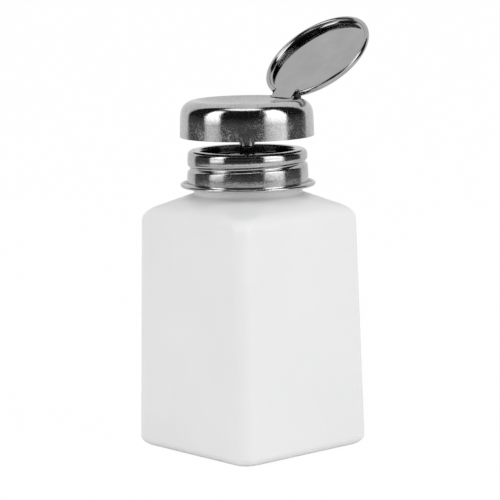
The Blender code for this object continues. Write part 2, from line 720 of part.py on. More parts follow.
def make_stem_pieces():
    stem = ring(STEM_BORE, STEM_RADIUS, STEM_BOTTOM_Z, STEM_TOP_Z)
    add_object("stem", turned_mesh("stem", stem, SMALL_SIDES), "steel")
    socket = STEM_RADIUS + SEAT_GAP
    hub = [
        (HUB_FLANGE_RADIUS, HUB_TOP_Z),
        (HUB_FLANGE_RADIUS, HUB_TOP_Z - HUB_FLANGE_THICKNESS),
        (HUB_RADIUS, HUB_TOP_Z - HUB_FLANGE_THICKNESS),
        (HUB_RADIUS, HUB_BOTTOM_Z),
        (socket, HUB_BOTTOM_Z),
        (socket, STEM_TOP_Z + SEAT_GAP),
        (OUTLET_SEAT_HOLE, STEM_TOP_Z + SEAT_GAP),
        (OUTLET_SEAT_HOLE, OUTLET_SEAT_Z),
        (HUB_CHAMBER, OUTLET_SEAT_Z),
        (HUB_CHAMBER, HUB_TOP_Z),
    ]
    add_object("cup_hub", turned_mesh("cup_hub", hub, SMALL_SIDES), "pump_plastic")
    washer_low = HUB_TOP_Z + SEAT_GAP
    washer = ring(DISH_HOLE, HUB_FLANGE_RADIUS, washer_low, washer_low + WASHER_THICKNESS)
    add_object("hub_washer", turned_mesh("hub_washer", washer, SMALL_SIDES), "foam")
    centre = (0.0, 0.0, OUTLET_SEAT_Z + OUTLET_BALL_RISE)
    add_object("outlet_ball", ball_mesh("outlet_ball", OUTLET_BALL_RADIUS), "steel", centre)


def make_nozzle():
    """Round head in the middle of the dish, whose shank clamps the dish to the hub."""
    top = NOZZLE_Z + NOZZLE_THICKNESS
    edge = NOZZLE_THICKNESS / 2
    outline = [
        (0.0, top),
        (NOZZLE_FLANGE_RADIUS - edge, top),
        (NOZZLE_FLANGE_RADIUS, top - edge),
        (NOZZLE_FLANGE_RADIUS, NOZZLE_Z),
        (SHANK_RADIUS, NOZZLE_Z),
        (SHANK_RADIUS, OUTLET_SEAT_Z + SEAT_GAP),
        (NOZZLE_BORE, OUTLET_SEAT_Z + SEAT_GAP),
        (NOZZLE_BORE, NOZZLE_Z),
        (0.0, NOZZLE_Z),
    ]
    nozzle = add_object("nozzle", turned_mesh("nozzle", outline, SMALL_SIDES, closed=False), "steel")
    spread = NOZZLE_BORE - 2 * NOZZLE_HOLE_RADIUS
    for index in range(NOZZLE_HOLES):
        drill = rod_mesh("nozzle_hole", NOZZLE_HOLE_RADIUS, NOZZLE_Z - CUT_OVERRUN, top + CUT_OVERRUN, 8)
        angle = math.tau * index / NOZZLE_HOLES
        place = Matrix.Translation((spread * math.cos(angle), spread * math.sin(angle), 0.0))
        boolean(nozzle, cutter("nozzle_hole_%d" % (index + 1), drill, place), "DIFFERENCE")


# Cup

def dish_z(radius):
    """Height of the dish's upper face at a radius, flat in the middle and steeper towards the rim."""
    return CUP_TOP_Z - DISH_DEPTH * (1 - (radius / DISH_RADIUS) ** DISH_POWER)


def slot_outer():
    """Where the thumb tab's sweep, with its gap, comes out through the cup's round edge."""
    centre = Vector((DISH_RADIUS, CUP_TOP_Z - CUP_FILLET))
    away = Vector((HINGE_RADIUS, HINGE_Z)) - centre
    along = (CUP_FILLET**2 - SWEEP_RADIUS**2 + away.length_squared) / (2 * away.length)
    aside = math.sqrt(CUP_FILLET**2 - along**2)
    away.normalize()
    return centre.x + along * away.x + aside * away.y


def make_cup():
    path = []
    for index in range(DISH_STEPS):
        share = math.sin(math.radians(90.0) * index / DISH_STEPS)
        radius = DISH_HOLE + (DISH_RADIUS - DISH_HOLE) * share
        path.append((radius, dish_z(radius)))
    path += arc((DISH_RADIUS, CUP_TOP_Z - CUP_FILLET), CUP_FILLET, 90.0, 0.0, 6)
    path.append((CUP_RADIUS + CUP_DRAFT, CUP_BOTTOM_Z))
    cup = add_object("cup", turned_mesh("cup", sheet_outline(path, CUP_SHEET), WIDE_SIDES), "steel")
    slot = box_mesh(
        "hinge_slot",
        (-SLOT_HALF_WIDTH, HINGE_RADIUS - SWEEP_RADIUS, HINGE_Z - SWEEP_RADIUS),
        (SLOT_HALF_WIDTH, slot_outer(), HINGE_Z))
    boolean(cup, cutter("hinge_slot", slot), "DIFFERENCE")


# Hinge and lid

def make_hinge():
    """Bracket under the dish, whose two ears come up through the slot and hold the pin."""
    tab_inner = HUB_FLANGE_RADIUS + BRACKET_HUB_GAP
    base_top = dish_z(tab_inner) - CUP_SHEET - SEAT_GAP
    path = [(tab_inner, base_top), (HINGE_RADIUS + EAR_RADIUS, base_top)]
    strip = plate_mesh("hinge_bracket", sheet_outline(path, BRACKET_SHEET), 2 * EAR_OUTER)
    bracket = add_object("hinge_bracket", strip, "steel")
    foot = base_top - BRACKET_SHEET / 2
    ear = [(HINGE_RADIUS + EAR_RADIUS - STRAP_INSET, foot)]
    ear += arc((HINGE_RADIUS, HINGE_Z), EAR_RADIUS - STRAP_INSET, 0.0, 180.0, 8)
    ear += [(HINGE_RADIUS - EAR_RADIUS - EAR_SPREAD, foot)]
    for side, name in ((-1, "ear_left"), (1, "ear_right")):
        mesh = plate_mesh(name, ear, EAR_THICKNESS - 2 * STRAP_INSET)
        place = Matrix.Translation((side * (EAR_INNER + EAR_OUTER) / 2, 0.0, 0.0))
        boolean(bracket, cutter(name, mesh, place), "UNION")
    across = Matrix.Translation((0.0, HINGE_RADIUS, HINGE_Z)) @ Matrix.Rotation(math.pi / 2, 4, "Y")
    bore = PIN_RADIUS + KNUCKLE_CLEARANCE / 2
    reach = EAR_OUTER + CUT_OVERRUN
    boolean(bracket, cutter("pin_bore", rod_mesh("pin_bore", bore, -reach, reach, 16), across), "DIFFERENCE")
    rod = rod_mesh("hinge_pin", PIN_RADIUS, -PIN_HALF_LENGTH, PIN_HALF_LENGTH, 16)
    pin = add_object("hinge_pin", rod, "steel")
    pin.matrix_world = across


def make_lid():
    """The lid is drawn shut, in a frame on its hinge axis, and then swung open."""
    low = -KNUCKLE_RISE
    top = low + LID_HEIGHT
    path = [(0.0, top)]
    path += arc((LID_RADIUS - LID_EDGE_ROUND, top - LID_EDGE_ROUND), LID_EDGE_ROUND, 90.0, 0.0, 4)
    path += [(LID_RADIUS, low), (LID_RADIUS - LID_RING_WIDTH, low)]
    pan = turned_mesh("lid", sheet_outline(path, LID_SHEET), WIDE_SIDES, closed=False)
    pan.transform(Matrix.Translation((0.0, -HINGE_RADIUS, 0.0)))
    lid = add_object("lid", pan, "steel", (0.0, HINGE_RADIUS, HINGE_Z))
    lid.rotation_euler = (-LID_OPEN_ANGLE, 0.0, 0.0)
    place = Matrix.Translation(lid.location) @ Matrix.Rotation(-LID_OPEN_ANGLE, 4, "X")
    across = place @ Matrix.Rotation(math.pi / 2, 4, "Y")
    half = STRAP_WIDTH / 2 + SEAT_GAP
    knuckle = rod_mesh("lid_knuckle", KNUCKLE_RADIUS, -half, half, 20)
    boolean(lid, cutter("lid_knuckle", knuckle, across), "UNION")
    tab = box_mesh(
        "thumb_tab", (-half, 0.0, low + STRAP_INSET), (half, TAB_REACH, low + LID_SHEET - STRAP_INSET))
    boolean(lid, cutter("thumb_tab", tab, place), "UNION")
    reach = STRAP_WIDTH / 2 + CUT_OVERRUN
    bore = rod_mesh("knuckle_bore", KNUCKLE_BORE, -reach, reach, 20)
    boolean(lid, cutter("knuckle_bore", bore, across), "DIFFERENCE")
    for side, name in ((-1, "lid_notch_left"), (1, "lid_notch_right")):
        ends = sorted((side * STRAP_WIDTH / 2, side * NOTCH_HALF_WIDTH))
        notch = box_mesh(
            name, (ends[0], -EAR_RADIUS - 2 * SEAT_GAP, -LID_RADIUS), (ends[1], LID_RADIUS, LID_RADIUS))
        boolean(lid, cutter(name, notch, place), "DIFFERENCE")


make_bottle()
make_collar()
make_collar_pieces()
make_cylinder()
make_dip_tube()
make_inlet_valve()
make_spring()
make_piston()
make_stem_pieces()
make_nozzle()
make_cup()
make_hinge()
make_lid()
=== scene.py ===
# Push-down nail polish remover pump: a square white plastic bottle with a polished steel
# screw collar, a steel dispensing cup and a hinged lid that stands open.
# Sizes are in millimetres until a mesh is made. The frame's origin is the base's centre,
# +Z is the pump's axis and the lid opens towards +Y.

import math

import bmesh
import bpy
import numpy as np
from mathutils import Matrix, Vector


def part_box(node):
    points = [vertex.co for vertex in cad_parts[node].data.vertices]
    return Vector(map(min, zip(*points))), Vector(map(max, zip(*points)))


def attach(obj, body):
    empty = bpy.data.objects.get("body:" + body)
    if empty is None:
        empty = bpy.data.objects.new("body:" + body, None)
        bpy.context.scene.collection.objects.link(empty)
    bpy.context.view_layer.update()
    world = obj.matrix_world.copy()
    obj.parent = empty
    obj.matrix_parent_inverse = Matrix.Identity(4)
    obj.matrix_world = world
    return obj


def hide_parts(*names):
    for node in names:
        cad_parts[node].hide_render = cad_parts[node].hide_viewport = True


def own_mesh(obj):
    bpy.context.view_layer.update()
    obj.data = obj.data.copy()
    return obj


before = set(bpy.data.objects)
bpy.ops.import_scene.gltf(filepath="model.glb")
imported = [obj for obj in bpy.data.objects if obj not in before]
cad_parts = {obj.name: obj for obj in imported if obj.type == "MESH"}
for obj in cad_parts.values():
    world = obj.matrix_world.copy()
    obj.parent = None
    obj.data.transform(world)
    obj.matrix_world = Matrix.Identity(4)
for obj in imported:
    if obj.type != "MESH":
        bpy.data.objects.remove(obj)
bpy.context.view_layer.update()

MM = 0.001
TAU = math.tau
QUARTER = math.radians(90.0)
ON_AXIS = 1e-6
MERGE_DISTANCE = 0.000002
SHARP_ANGLE = 32.0
FINE_SIDES = 288
GAP = 0.3

# Camera, with its clip distances in metres
CAMERA_AZIMUTH = math.radians(48.7)
CAMERA_ELEVATION = math.radians(8.74)
CAMERA_ROLL = math.radians(1.05)
CAMERA_DISTANCE = 900.0
CAMERA_LENS = 175.7
CAMERA_SENSOR = 36.0
CLIP_START = 0.05
CLIP_END = 20.0
FIT_CENTRE = 65.0
AIM_RISE = 7.6
AIM_SIDE = 0.3

# Studio, with the floor's reach in metres
WHITE = (1.0, 1.0, 1.0, 1.0)
BACKDROP_GLOW = 0.79
CARDS_RADIUS = 600.0
CARDS_CENTRE = 120.0
CARDS_COLUMNS = 240
CARDS_ROWS = 120
FLOOR_REACH = 4.0
FLOOR_COLOUR = (0.90, 0.90, 0.90, 1.0)
FLOOR_GLOW = 0.98
AMBIENT = 0.73
LAMP_DISTANCE = 900.0
LAMP_AIM = 60.0

# Noise scales of the materials, per metre
PLASTIC_CLOUD = 45.0
PLASTIC_HAZE = 210.0
PLASTIC_RIPPLE = 60.0
PLASTIC_GRAIN = 1500.0
STEEL_CLOUD = 110.0
STEEL_GRAIN = 1100.0
STEEL_PATCHES = 190.0
STEEL_SPECKS = 1900.0
STEEL_LINES = 800.0
STEEL_WAVE = 70.0
MOULDED_CLOUD = 140.0
MOULDED_HAZE = 400.0
MOULDED_GRAIN = 900.0

# Bottle
BASE_SIDE = 62.0
TOP_SIDE = 58.7
BODY_HEIGHT = 87.5
CORNER_RADIUS = 5.2
FOOT_RADIUS = 3.5
SHOULDER_RISE = 6.5
SHOULDER_ROUND = 3.5
NECK_ROUND = 0.8
BOTTLE_WALL = 1.5
INNER_CORNER_LEAST = 1.0
NECK_RADIUS = 19.9
NECK_FOOT = BODY_HEIGHT + SHOULDER_RISE
NECK_STRAIGHT = NECK_FOOT + NECK_ROUND + 1.0
NECK_TOP = 108.2
NECK_BORE = NECK_RADIUS - BOTTLE_WALL
NECK_LIP = 0.35
FOOT_STEPS = 12
WALL_STEPS = 16
EDGE_STEPS = 12
SLOPE_STEPS = 14
ROOT_STEPS = 6

# Thread, with its flank as shares of its width at the root and of its depth
PITCH = 25.4 / 6
CREST_RADIUS = 21.0
THREAD_CREST = 0.9
THREAD_ROOT = 2.0
THREAD_SPREAD = 1.08
THREAD_SINK = 0.3
THREAD_TOP = 107.0
THREAD_TURNS = 0.97
THREAD_RUN_OUT = 0.05
THREAD_STEPS = 220
THREAD_FLANK = [(-0.5, 0.0), (-0.42, 0.35), (-0.32, 0.75), (-0.24, 0.94), (-0.14, 1.0)]

# Collar
SHEET = 0.5
BEAD_RADIUS = 21.9
BAND_RADIUS = 22.2
ROLL_RADIUS = 21.1
ROLL_HALF_WIDTH = 1.4
ROLL_TURNS = 1.0
ROLL_FADE_TURNS = 0.08
ROLL_MIDDLE_ANGLE = math.radians(319.0)
RIM_Z = 110.0
ROLL_Z = RIM_Z - 5.5
RIM_ROUND = 1.6
BOWL_ROUND = 1.0
BOWL_Z = 106.5
BOWL_RADIUS = 17.4
BOWL_HOLE = 5.5
FLANGE_Z = 96.7
FLANGE_RADIUS = 24.8
CURL_RADIUS = 0.65
WEB_Z = FLANGE_Z + CURL_RADIUS
FLARE_RADIUS = 0.8
SIDE_FOOT = WEB_Z + FLARE_RADIUS
SIDE_TOP = RIM_Z - RIM_ROUND
SIDE_ROWS = 66
BAND_SWELL = 0.14
BAND_FADE = 2.4
BEAD_SWELL = 0.09
BEAD_LEAST = 0.3
# Inside this radius and below this height, the collar's bowl under the cup is painted near-black
# as shade
INNER_SHADE_RADIUS = BOWL_RADIUS + 0.2
INNER_SHADE_TOP = RIM_Z - 0.6

# Pump
BUSH_OUTLINE = [(8.0, 107.8), (8.0, 106.8), (5.2, 106.8), (5.2, 100.0), (4.35, 100.0),
                (4.35, 101.5), (3.25, 101.5), (3.25, 107.8)]
STEM_RADIUS = 2.95
STEM_BORE = 1.7
SPRING_WIRE = 0.8
SPRING_TURNS = 7
SPRING_SEGMENTS = 36
SPRING_SIDES = 10

# Cup and nozzle
CUP_RADIUS = 24.45
CUP_DRAFT = 0.15
CUP_BOTTOM = 115.0
CUP_TOP = 128.3
CUP_SHEET = 0.6
CUP_INNER = CUP_RADIUS - CUP_SHEET - 0.3
CUP_HOLE = 3.8
CUP_FILLET = 5.5
WIDE_FILLET = CUP_FILLET * 4.5
TIGHT_FILLET = CUP_FILLET * 0.95
FILLET_EASE = math.radians(8.0)
DISH_RADIUS = CUP_RADIUS - CUP_FILLET
DISH_DEPTH = 2.5
DISH_POWER = 3
DISH_ROWS = 40
DISH_Z = CUP_TOP - DISH_DEPTH
NOZZLE_FOOT = DISH_Z + GAP
NOZZLE_TOP = NOZZLE_FOOT + 0.4
NOZZLE_RADIUS = 6.0
SHANK_RADIUS = 3.5
SHANK_BORE = 2.5
NOZZLE_HOLES = 5
NOZZLE_HOLE_RADIUS = 0.45
NOZZLE_HOLE_CIRCLE = 1.6

# Lid
LID_RADIUS = 21.6
LID_SHEET = 0.45
LID_EDGE_ROUND = 2.2
LID_HEIGHT = 3.0
LID_RING_WIDTH = 1.6
HEM_ROUND = 0.75
OPEN_ANGLE = math.radians(141.0)

# Hinge
PIN_RADIUS = 0.55
KNUCKLE_BORE = 0.75
KNUCKLE_RADIUS = KNUCKLE_BORE + LID_SHEET
KNUCKLE_RISE = KNUCKLE_RADIUS - 0.3
HINGE_Y = LID_RADIUS - LID_SHEET - KNUCKLE_RADIUS + 0.1
HINGE_Z = CUP_TOP + GAP + KNUCKLE_RISE
STRAP_WIDTH = 10.8
STRAP_INSET = 0.01
STRAP_OVERLAP = 0.1
JOGGLE_ROOT = 3.4
JOGGLE_FOOT = 1.6
JOGGLE_INNER_FOOT = 1.3
TAB_REACH = LID_RADIUS + 2.1 - HINGE_Y
TAB_BEND = math.radians(8.0)
TAB_START = 1.2
TAB_LENGTH = 3.6
TAB_EASE = 0.1
LIP_HEIGHT = 1.2
SWEEP_RADIUS = math.hypot(TAB_REACH, KNUCKLE_RISE) + GAP
EAR_RADIUS = PIN_RADIUS + 0.75
EAR_SPREAD = 1.8
EAR_INNER = STRAP_WIDTH / 2 + GAP
EAR_OUTER = EAR_INNER + 0.7
EAR_INSET = 0.02
EAR_BORE = PIN_RADIUS + 0.1
PIN_HALF_LENGTH = EAR_OUTER + 0.1
NOTCH_HALF_WIDTH = PIN_HALF_LENGTH + GAP
SLOT_HALF_WIDTH = EAR_OUTER + GAP
SLIT_FRONT = 17.5
SLIT_DEPTH = 2.0
SLIT_OVERLAP = 0.2
BRACKET_SHEET = 0.6
BRACKET_INNER = 11.35


# Materials


class Nodes:
    """A small helper that adds and links shader nodes."""

    def __init__(self, tree):
        self.tree = tree

    def add(self, kind, **values):
        node = self.tree.nodes.new(kind)
        for key, value in values.items():
            setattr(node, key, value)
        return node

    def link(self, source, target):
        self.tree.links.new(source, target)

    def noise(self, coords, scale, detail=4.0, stretch=(1.0, 1.0, 1.0), rough=0.5):
        mapping = self.add("ShaderNodeMapping")
        mapping.inputs["Scale"].default_value = stretch
        self.link(coords, mapping.inputs["Vector"])
        node = self.add("ShaderNodeTexNoise")
        node.inputs["Scale"].default_value = scale
        node.inputs["Detail"].default_value = detail
        node.inputs["Roughness"].default_value = rough
        self.link(mapping.outputs["Vector"], node.inputs["Vector"])
        return node.outputs["Fac"]

    def spread(self, value, low, high, to_low, to_high):
        node = self.add("ShaderNodeMapRange")
        limits = {"From Min": low, "From Max": high, "To Min": to_low, "To Max": to_high}
        for name, number in limits.items():
            node.inputs[name].default_value = number
        self.link(value, node.inputs["Value"])
        return node.outputs["Result"]

    def tint(self, value, dark, light, low=0.3, high=0.7):
        node = self.add("ShaderNodeValToRGB")
        ends = node.color_ramp.elements
        for end, position, colour in ((ends[0], low, dark), (ends[1], high, light)):
            end.position = position
            end.color = (*colour, 1.0)
        self.link(value, node.inputs["Fac"])
        return node.outputs["Color"]

    def math(self, operation, first, second):
        node = self.add("ShaderNodeMath", operation=operation)
        for socket, value in zip(node.inputs, (first, second)):
            if isinstance(value, float):
                socket.default_value = value
            else:
                self.link(value, socket)
        return node.outputs["Value"]

    def bump(self, height, strength, distance, before=None):
        node = self.add("ShaderNodeBump")
        node.inputs["Strength"].default_value = strength
        node.inputs["Distance"].default_value = distance
        self.link(height, node.inputs["Height"])
        if before is not None:
            self.link(before, node.inputs["Normal"])
        return node.outputs["Normal"]

    def blend(self, share, first, second):
        node = self.add("ShaderNodeMixShader")
        for socket, source in zip(node.inputs, (share, first, second)):
            self.link(source, socket)
        return node.outputs["Shader"]


def new_material(name, metallic=0.0, ior=1.5):
    made = bpy.data.materials.new(name)
    made.use_nodes = True
    shader = made.node_tree.nodes["Principled BSDF"]
    shader.inputs["Metallic"].default_value = metallic
    shader.inputs["IOR"].default_value = ior
    nodes = Nodes(made.node_tree)
    coords = nodes.add("ShaderNodeTexCoord").outputs["Object"]
    return made, shader, nodes, coords


def plastic_material():
    """Natural white polyethylene: waxy, a little cloudy, with the soft ripple of a blown wall."""
    made, shader, nodes, coords = new_material("blown_polyethylene", ior=1.52)
    cloud = nodes.noise(coords, PLASTIC_CLOUD, 3.0)
    colour = nodes.tint(cloud, (0.862, 0.864, 0.862), (0.885, 0.885, 0.881))
    nodes.link(colour, shader.inputs["Base Color"])
    haze = nodes.spread(nodes.noise(coords, PLASTIC_HAZE), 0.3, 0.7, 0.34, 0.44)
    nodes.link(haze, shader.inputs["Roughness"])
    shader.inputs["Subsurface Weight"].default_value = 0.25
    shader.inputs["Subsurface Radius"].default_value = (1.0, 0.96, 0.9)
    shader.inputs["Subsurface Scale"].default_value = 0.002
    shader.inputs["Specular IOR Level"].default_value = 0.5
    ripple = nodes.bump(nodes.noise(coords, PLASTIC_RIPPLE, 2.0), 0.10, 0.0006)
    grain = nodes.bump(nodes.noise(coords, PLASTIC_GRAIN, 3.0), 0.10, 0.00006, ripple)
    nodes.link(grain, shader.inputs["Normal"])
    return made


def steel_material(name, tone, film, streaks=(1.0, 1.0, 0.07), streak_strength=0.10, wave=0.05,
                   speck_strength=0.12, film_rise=None, grainy=True, line_scale=STEEL_LINES):
    """Polished stainless steel with a patchy film of wipe marks, and the lines drawing leaves.

    The film thins out between the two heights of film_rise, in metres.
    """
    made, shader, nodes, coords = new_material(name, metallic=1.0)
    cloud = nodes.noise(coords, STEEL_CLOUD, 5.0, rough=0.6)
    depth, ramp_start = 0.86, 0.3
    if grainy:
        depth, ramp_start = 0.72, 0.2
        grain = nodes.noise(coords, STEEL_GRAIN, 5.0, rough=0.7)
        cloud = nodes.math("MULTIPLY", nodes.spread(cloud, 0.3, 0.7, 0.6, 1.0),
                           nodes.spread(grain, 0.35, 0.6, 0.3, 1.0))
    dark = tuple(c * depth for c in tone)
    nodes.link(nodes.tint(cloud, dark, tone, ramp_start), shader.inputs["Base Color"])

    patches = nodes.noise(coords, STEEL_PATCHES, rough=0.6)
    specks = nodes.noise(coords, STEEL_SPECKS, 3.0, rough=0.6)
    specks = nodes.spread(specks, 0.38, 0.62, 0.0, 1.0)
    lines = nodes.noise(coords, line_scale, 3.0, streaks)
    marks = nodes.math("MAXIMUM", specks, nodes.spread(lines, 0.45, 0.75, 0.0, 0.9))
    wiped = nodes.math("MULTIPLY", nodes.spread(patches, 0.34, 0.66, 0.25, 1.0), marks)
    if film_rise:
        place = nodes.add("ShaderNodeSeparateXYZ")
        nodes.link(coords, place.inputs["Vector"])
        thinner = nodes.spread(place.outputs["Z"], *film_rise, 1.0, 0.35)
        wiped = nodes.math("MULTIPLY", wiped, thinner)
    nodes.link(nodes.spread(wiped, 0.0, 1.0, 0.05, film), shader.inputs["Roughness"])

    normal = nodes.bump(nodes.noise(coords, STEEL_WAVE, 2.0), wave, 0.0005)
    if streak_strength:
        normal = nodes.bump(lines, streak_strength, 0.00004, normal)
    if speck_strength:
        normal = nodes.bump(specks, speck_strength, 0.00003, normal)
    nodes.link(normal, shader.inputs["Normal"])
    return made


def moulded_material(name, dark, light, rough, grain_scale=MOULDED_GRAIN, see_through=0.0):
    """A moulded plastic, foam or rubber with a fine surface grain."""
    made, shader, nodes, coords = new_material(name)
    colour = nodes.tint(nodes.noise(coords, MOULDED_CLOUD), dark, light)
    nodes.link(colour, shader.inputs["Base Color"])
    haze = nodes.noise(coords, MOULDED_HAZE, 3.0)
    haze = nodes.spread(haze, 0.3, 0.7, rough - 0.06, rough + 0.06)
    nodes.link(haze, shader.inputs["Roughness"])
    if see_through:
        shader.inputs["Transmission Weight"].default_value = see_through
    grain = nodes.bump(nodes.noise(coords, grain_scale, 3.0), 0.25, 0.00008)
    nodes.link(grain, shader.inputs["Normal"])
    return made


PLASTIC = plastic_material()
CUP_STEEL = steel_material("polished_cup_steel", (0.60, 0.60, 0.60), 0.50,
                           film_rise=(0.117, 0.124))
# Rougher steel with a near-black tone: a painted shade for the hollows inside the cup and the
# collar's bowl
INNER_SHADE_STEEL = steel_material("rough_inner_steel_painted_shade", (0.11, 0.11, 0.11), 0.45)
COLLAR_STEEL = steel_material("polished_collar_steel", (0.56, 0.56, 0.56), 0.30,
                              streaks=(1.0, 1.0, 0.03), streak_strength=0.35, line_scale=1100.0)
LID_STEEL = steel_material("polished_lid_steel", (0.49, 0.49, 0.49), 0.07,
                           streaks=(1.0, 1.0, 1.0), streak_strength=0.0, wave=0.012,
                           speck_strength=0.0, grainy=False)
STEM_STEEL = steel_material("turned_stem_steel", (0.42, 0.42, 0.42), 0.07,
                            streaks=(0.05, 0.05, 1.0), streak_strength=0.0, wave=0.0,
                            speck_strength=0.0)
VALVE_STEEL = steel_material("valve_steel", (0.55, 0.55, 0.56), 0.25,
                             streaks=(0.2, 0.2, 1.0), wave=0.0)
PUMP_PLASTIC = moulded_material("pump_polypropylene", (0.70, 0.71, 0.71), (0.78, 0.79, 0.79), 0.42)
TUBE_PLASTIC = moulded_material("tube_polyethylene", (0.80, 0.82, 0.82), (0.86, 0.88, 0.88), 0.30,
                                see_through=0.35)
FOAM = moulded_material("gasket_foam_white", (0.80, 0.80, 0.79), (0.90, 0.90, 0.89), 0.80, 2200.0)
RUBBER = moulded_material("seal_rubber_black", (0.018, 0.018, 0.018), (0.035, 0.035, 0.035), 0.60)


# Shapes


def arc(centre, radius, start, end, steps=12):
    """Points along an arc, angles in degrees from the first axis."""
    turns = np.radians(np.linspace(start, end, steps + 1))
    return [(centre[0] + radius * math.cos(t), centre[1] + radius * math.sin(t)) for t in turns]


def offset(path, distance):
    """The path moved to its right hand by a distance, with mitred corners."""
    points = [Vector(p) for p in path]
    moved = []
    for index, here in enumerate(points):
        first = here - points[index - 1] if index else points[1] - here
        last = points[index + 1] - here if index < len(points) - 1 else first
        a = Vector((first.y, -first.x)).normalized()
        b = Vector((last.y, -last.x)).normalized()
        mitre = (a + b).normalized()
        moved.append(tuple(here + mitre * distance / mitre.dot(a)))
    return moved


def guard(path, reach=0.12, closed=False):
    """Adds points near the ends of long straight runs, so that smooth shading stays true."""
    out = []
    count = len(path)
    for index in range(count if closed else count - 1):
        a, b = Vector(path[index]), Vector(path[(index + 1) % count])
        out.append(tuple(a))
        length = (b - a).length
        if length > 5 * reach:
            step = (b - a) * (reach / length)
            out += [tuple(a + step), tuple(b - step)]
    if not closed:
        out.append(tuple(path[-1]))
    return out


def soften(outline, radius=0.12, steps=3):
    """Rounds each corner of a closed outline, by no more than a third of its sides."""
    out = []
    count = len(outline)
    for index in range(count):
        before, here, after = (Vector(outline[(index + k) % count]) for k in (-1, 0, 1))
        if here.x < ON_AXIS:
            out.append(tuple(here))
            continue
        a, b = before - here, after - here
        cut = min(radius, a.length / 3, b.length / 3)
        start, end = here + a.normalized() * cut, here + b.normalized() * cut
        for step in range(steps + 1):
            t = step / steps
            out.append(tuple(start * (1 - t) ** 2 + here * 2 * t * (1 - t) + end * t * t))
    return guard(out, closed=True)


def folded(path, thickness):
    """Closed outline of a sheet that lies on the right hand of a path."""
    return list(path) + list(reversed(offset(path, thickness)))


def sheet(path, thickness):
    """The same outline, guarded for smooth shading."""
    return guard(folded(path, thickness), closed=True)


def ring(inner, outer, low, high):
    """Outline of a plain tube."""
    return [(outer, high), (outer, low), (inner, low), (inner, high)]


def side_faces(rows, width):
    """Faces between neighbouring rows of points, each row closed on itself."""
    faces = []
    for i in range(rows - 1):
        for k in range(width):
            n = (k + 1) % width
            faces.append((i * width + k, i * width + n, (i + 1) * width + n, (i + 1) * width + k))
    return faces


def closed_faces(rows, width):
    """The faces that fill the first and the last row, and those between the rows."""
    end = rows * width - 1
    return [tuple(range(width)), tuple(range(end, end - width, -1))] + side_faces(rows, width)


def turned_points(outline, sides, warp=None):
    """Points and faces of a closed outline turned about Z."""
    outline = np.array(outline, float)
    turns = np.linspace(0.0, TAU, sides, endpoint=False)
    radius = np.repeat(outline[:, 0][:, None], sides, 1)
    height = np.repeat(outline[:, 1][:, None], sides, 1)
    angle = np.repeat(turns[None, :], len(outline), 0)
    if warp is not None:
        radius, height = warp(radius, height, angle)
    points = np.stack([radius * np.cos(angle), radius * np.sin(angle), height], -1).reshape(-1, 3)
    faces = []
    rows = len(outline)
    for i in range(rows):
        j = (i + 1) % rows
        if outline[i, 0] < ON_AXIS and outline[j, 0] < ON_AXIS:
            continue
        for k in range(sides):
            n = (k + 1) % sides
            faces.append((i * sides + k, i * sides + n, j * sides + n, j * sides + k))
    return points, faces


def block(low, high):
    """A box from its lowest to its highest corner."""
    points = [(x, y, z) for x in (low[0], high[0]) for y in (low[1], high[1])
              for z in (low[2], high[2])]
    faces = [(0, 1, 3, 2), (4, 6, 7, 5), (0, 4, 5, 1), (2, 3, 7, 6), (0, 2, 6, 4), (1, 5, 7, 3)]
    return points, faces


def rod(radius, low, high, sides=48, axis="Z", centre=(0.0, 0.0)):
    """A cylinder along Z or X."""
    points = []
    for end in (low, high):
        for k in range(sides):
            a = centre[0] + radius * math.cos(TAU * k / sides)
            b = centre[1] + radius * math.sin(TAU * k / sides)
            points.append((a, b, end) if axis == "Z" else (end, a, b))
    return points, closed_faces(2, sides)


def plate(outline, half_width, edge=0.06):
    """An outline in Y and Z made solid along X, with its two edges eased."""
    outline = [Vector(p) for p in outline]
    after = outline[1:] + outline[:1]
    area = sum(here.x * there.y - there.x * here.y for here, there in zip(outline, after))
    sign = 1.0 if area > 0 else -1.0
    inner = []
    for i, (here, there) in enumerate(zip(outline, after)):
        a = (here - outline[i - 1]).normalized()
        b = (there - here).normalized()
        na, nb = Vector((-a.y, a.x)), Vector((-b.y, b.x))
        mitre = (na + nb).normalized()
        inner.append(here + mitre * (sign * edge / max(mitre.dot(na), 0.3)))
    rows = [(-half_width, inner), (-half_width + edge, outline), (half_width - edge, outline),
            (half_width, inner)]
    points = [(x, p.x, p.y) for x, row in rows for p in row]
    return points, closed_faces(len(rows), len(outline))


# Objects


def add_object(name, data):
    made = bpy.data.objects.new(name, data)
    bpy.context.scene.collection.objects.link(made)
    return made


def closed_mesh(name, points, faces, merge=False):
    """A mesh in metres from points in millimetres, with its faces turned outwards."""
    mesh = bpy.data.meshes.new(name)
    mesh.from_pydata([tuple(float(c) * MM for c in p) for p in points], [], faces)
    cage = bmesh.new()
    cage.from_mesh(mesh)
    if merge:
        bmesh.ops.remove_doubles(cage, verts=cage.verts, dist=MERGE_DISTANCE)
    bmesh.ops.recalc_face_normals(cage, faces=cage.faces)
    cage.to_mesh(mesh)
    cage.free()
    return mesh


def smooth(mesh, sharp=SHARP_ANGLE):
    mesh.shade_smooth()
    mesh.set_sharp_from_angle(angle=math.radians(sharp))


def build(name, points, faces, material, body, slot, replaces=(), sharp=SHARP_ANGLE):
    """An object from points in millimetres, riding on a body."""
    mesh = closed_mesh(name, points, faces, merge=True)
    smooth(mesh, sharp)
    mesh.materials.append(material)
    made = add_object(name, mesh)
    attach(made, body)
    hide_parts(*replaces)
    return made


def turned(name, outline, material, body, slot, replaces=(), sides=96, warp=None,
           sharp=SHARP_ANGLE):
    """An object whose closed outline is turned about Z."""
    points, faces = turned_points(outline, sides, warp)
    return build(name, points, faces, material, body, slot, replaces, sharp)


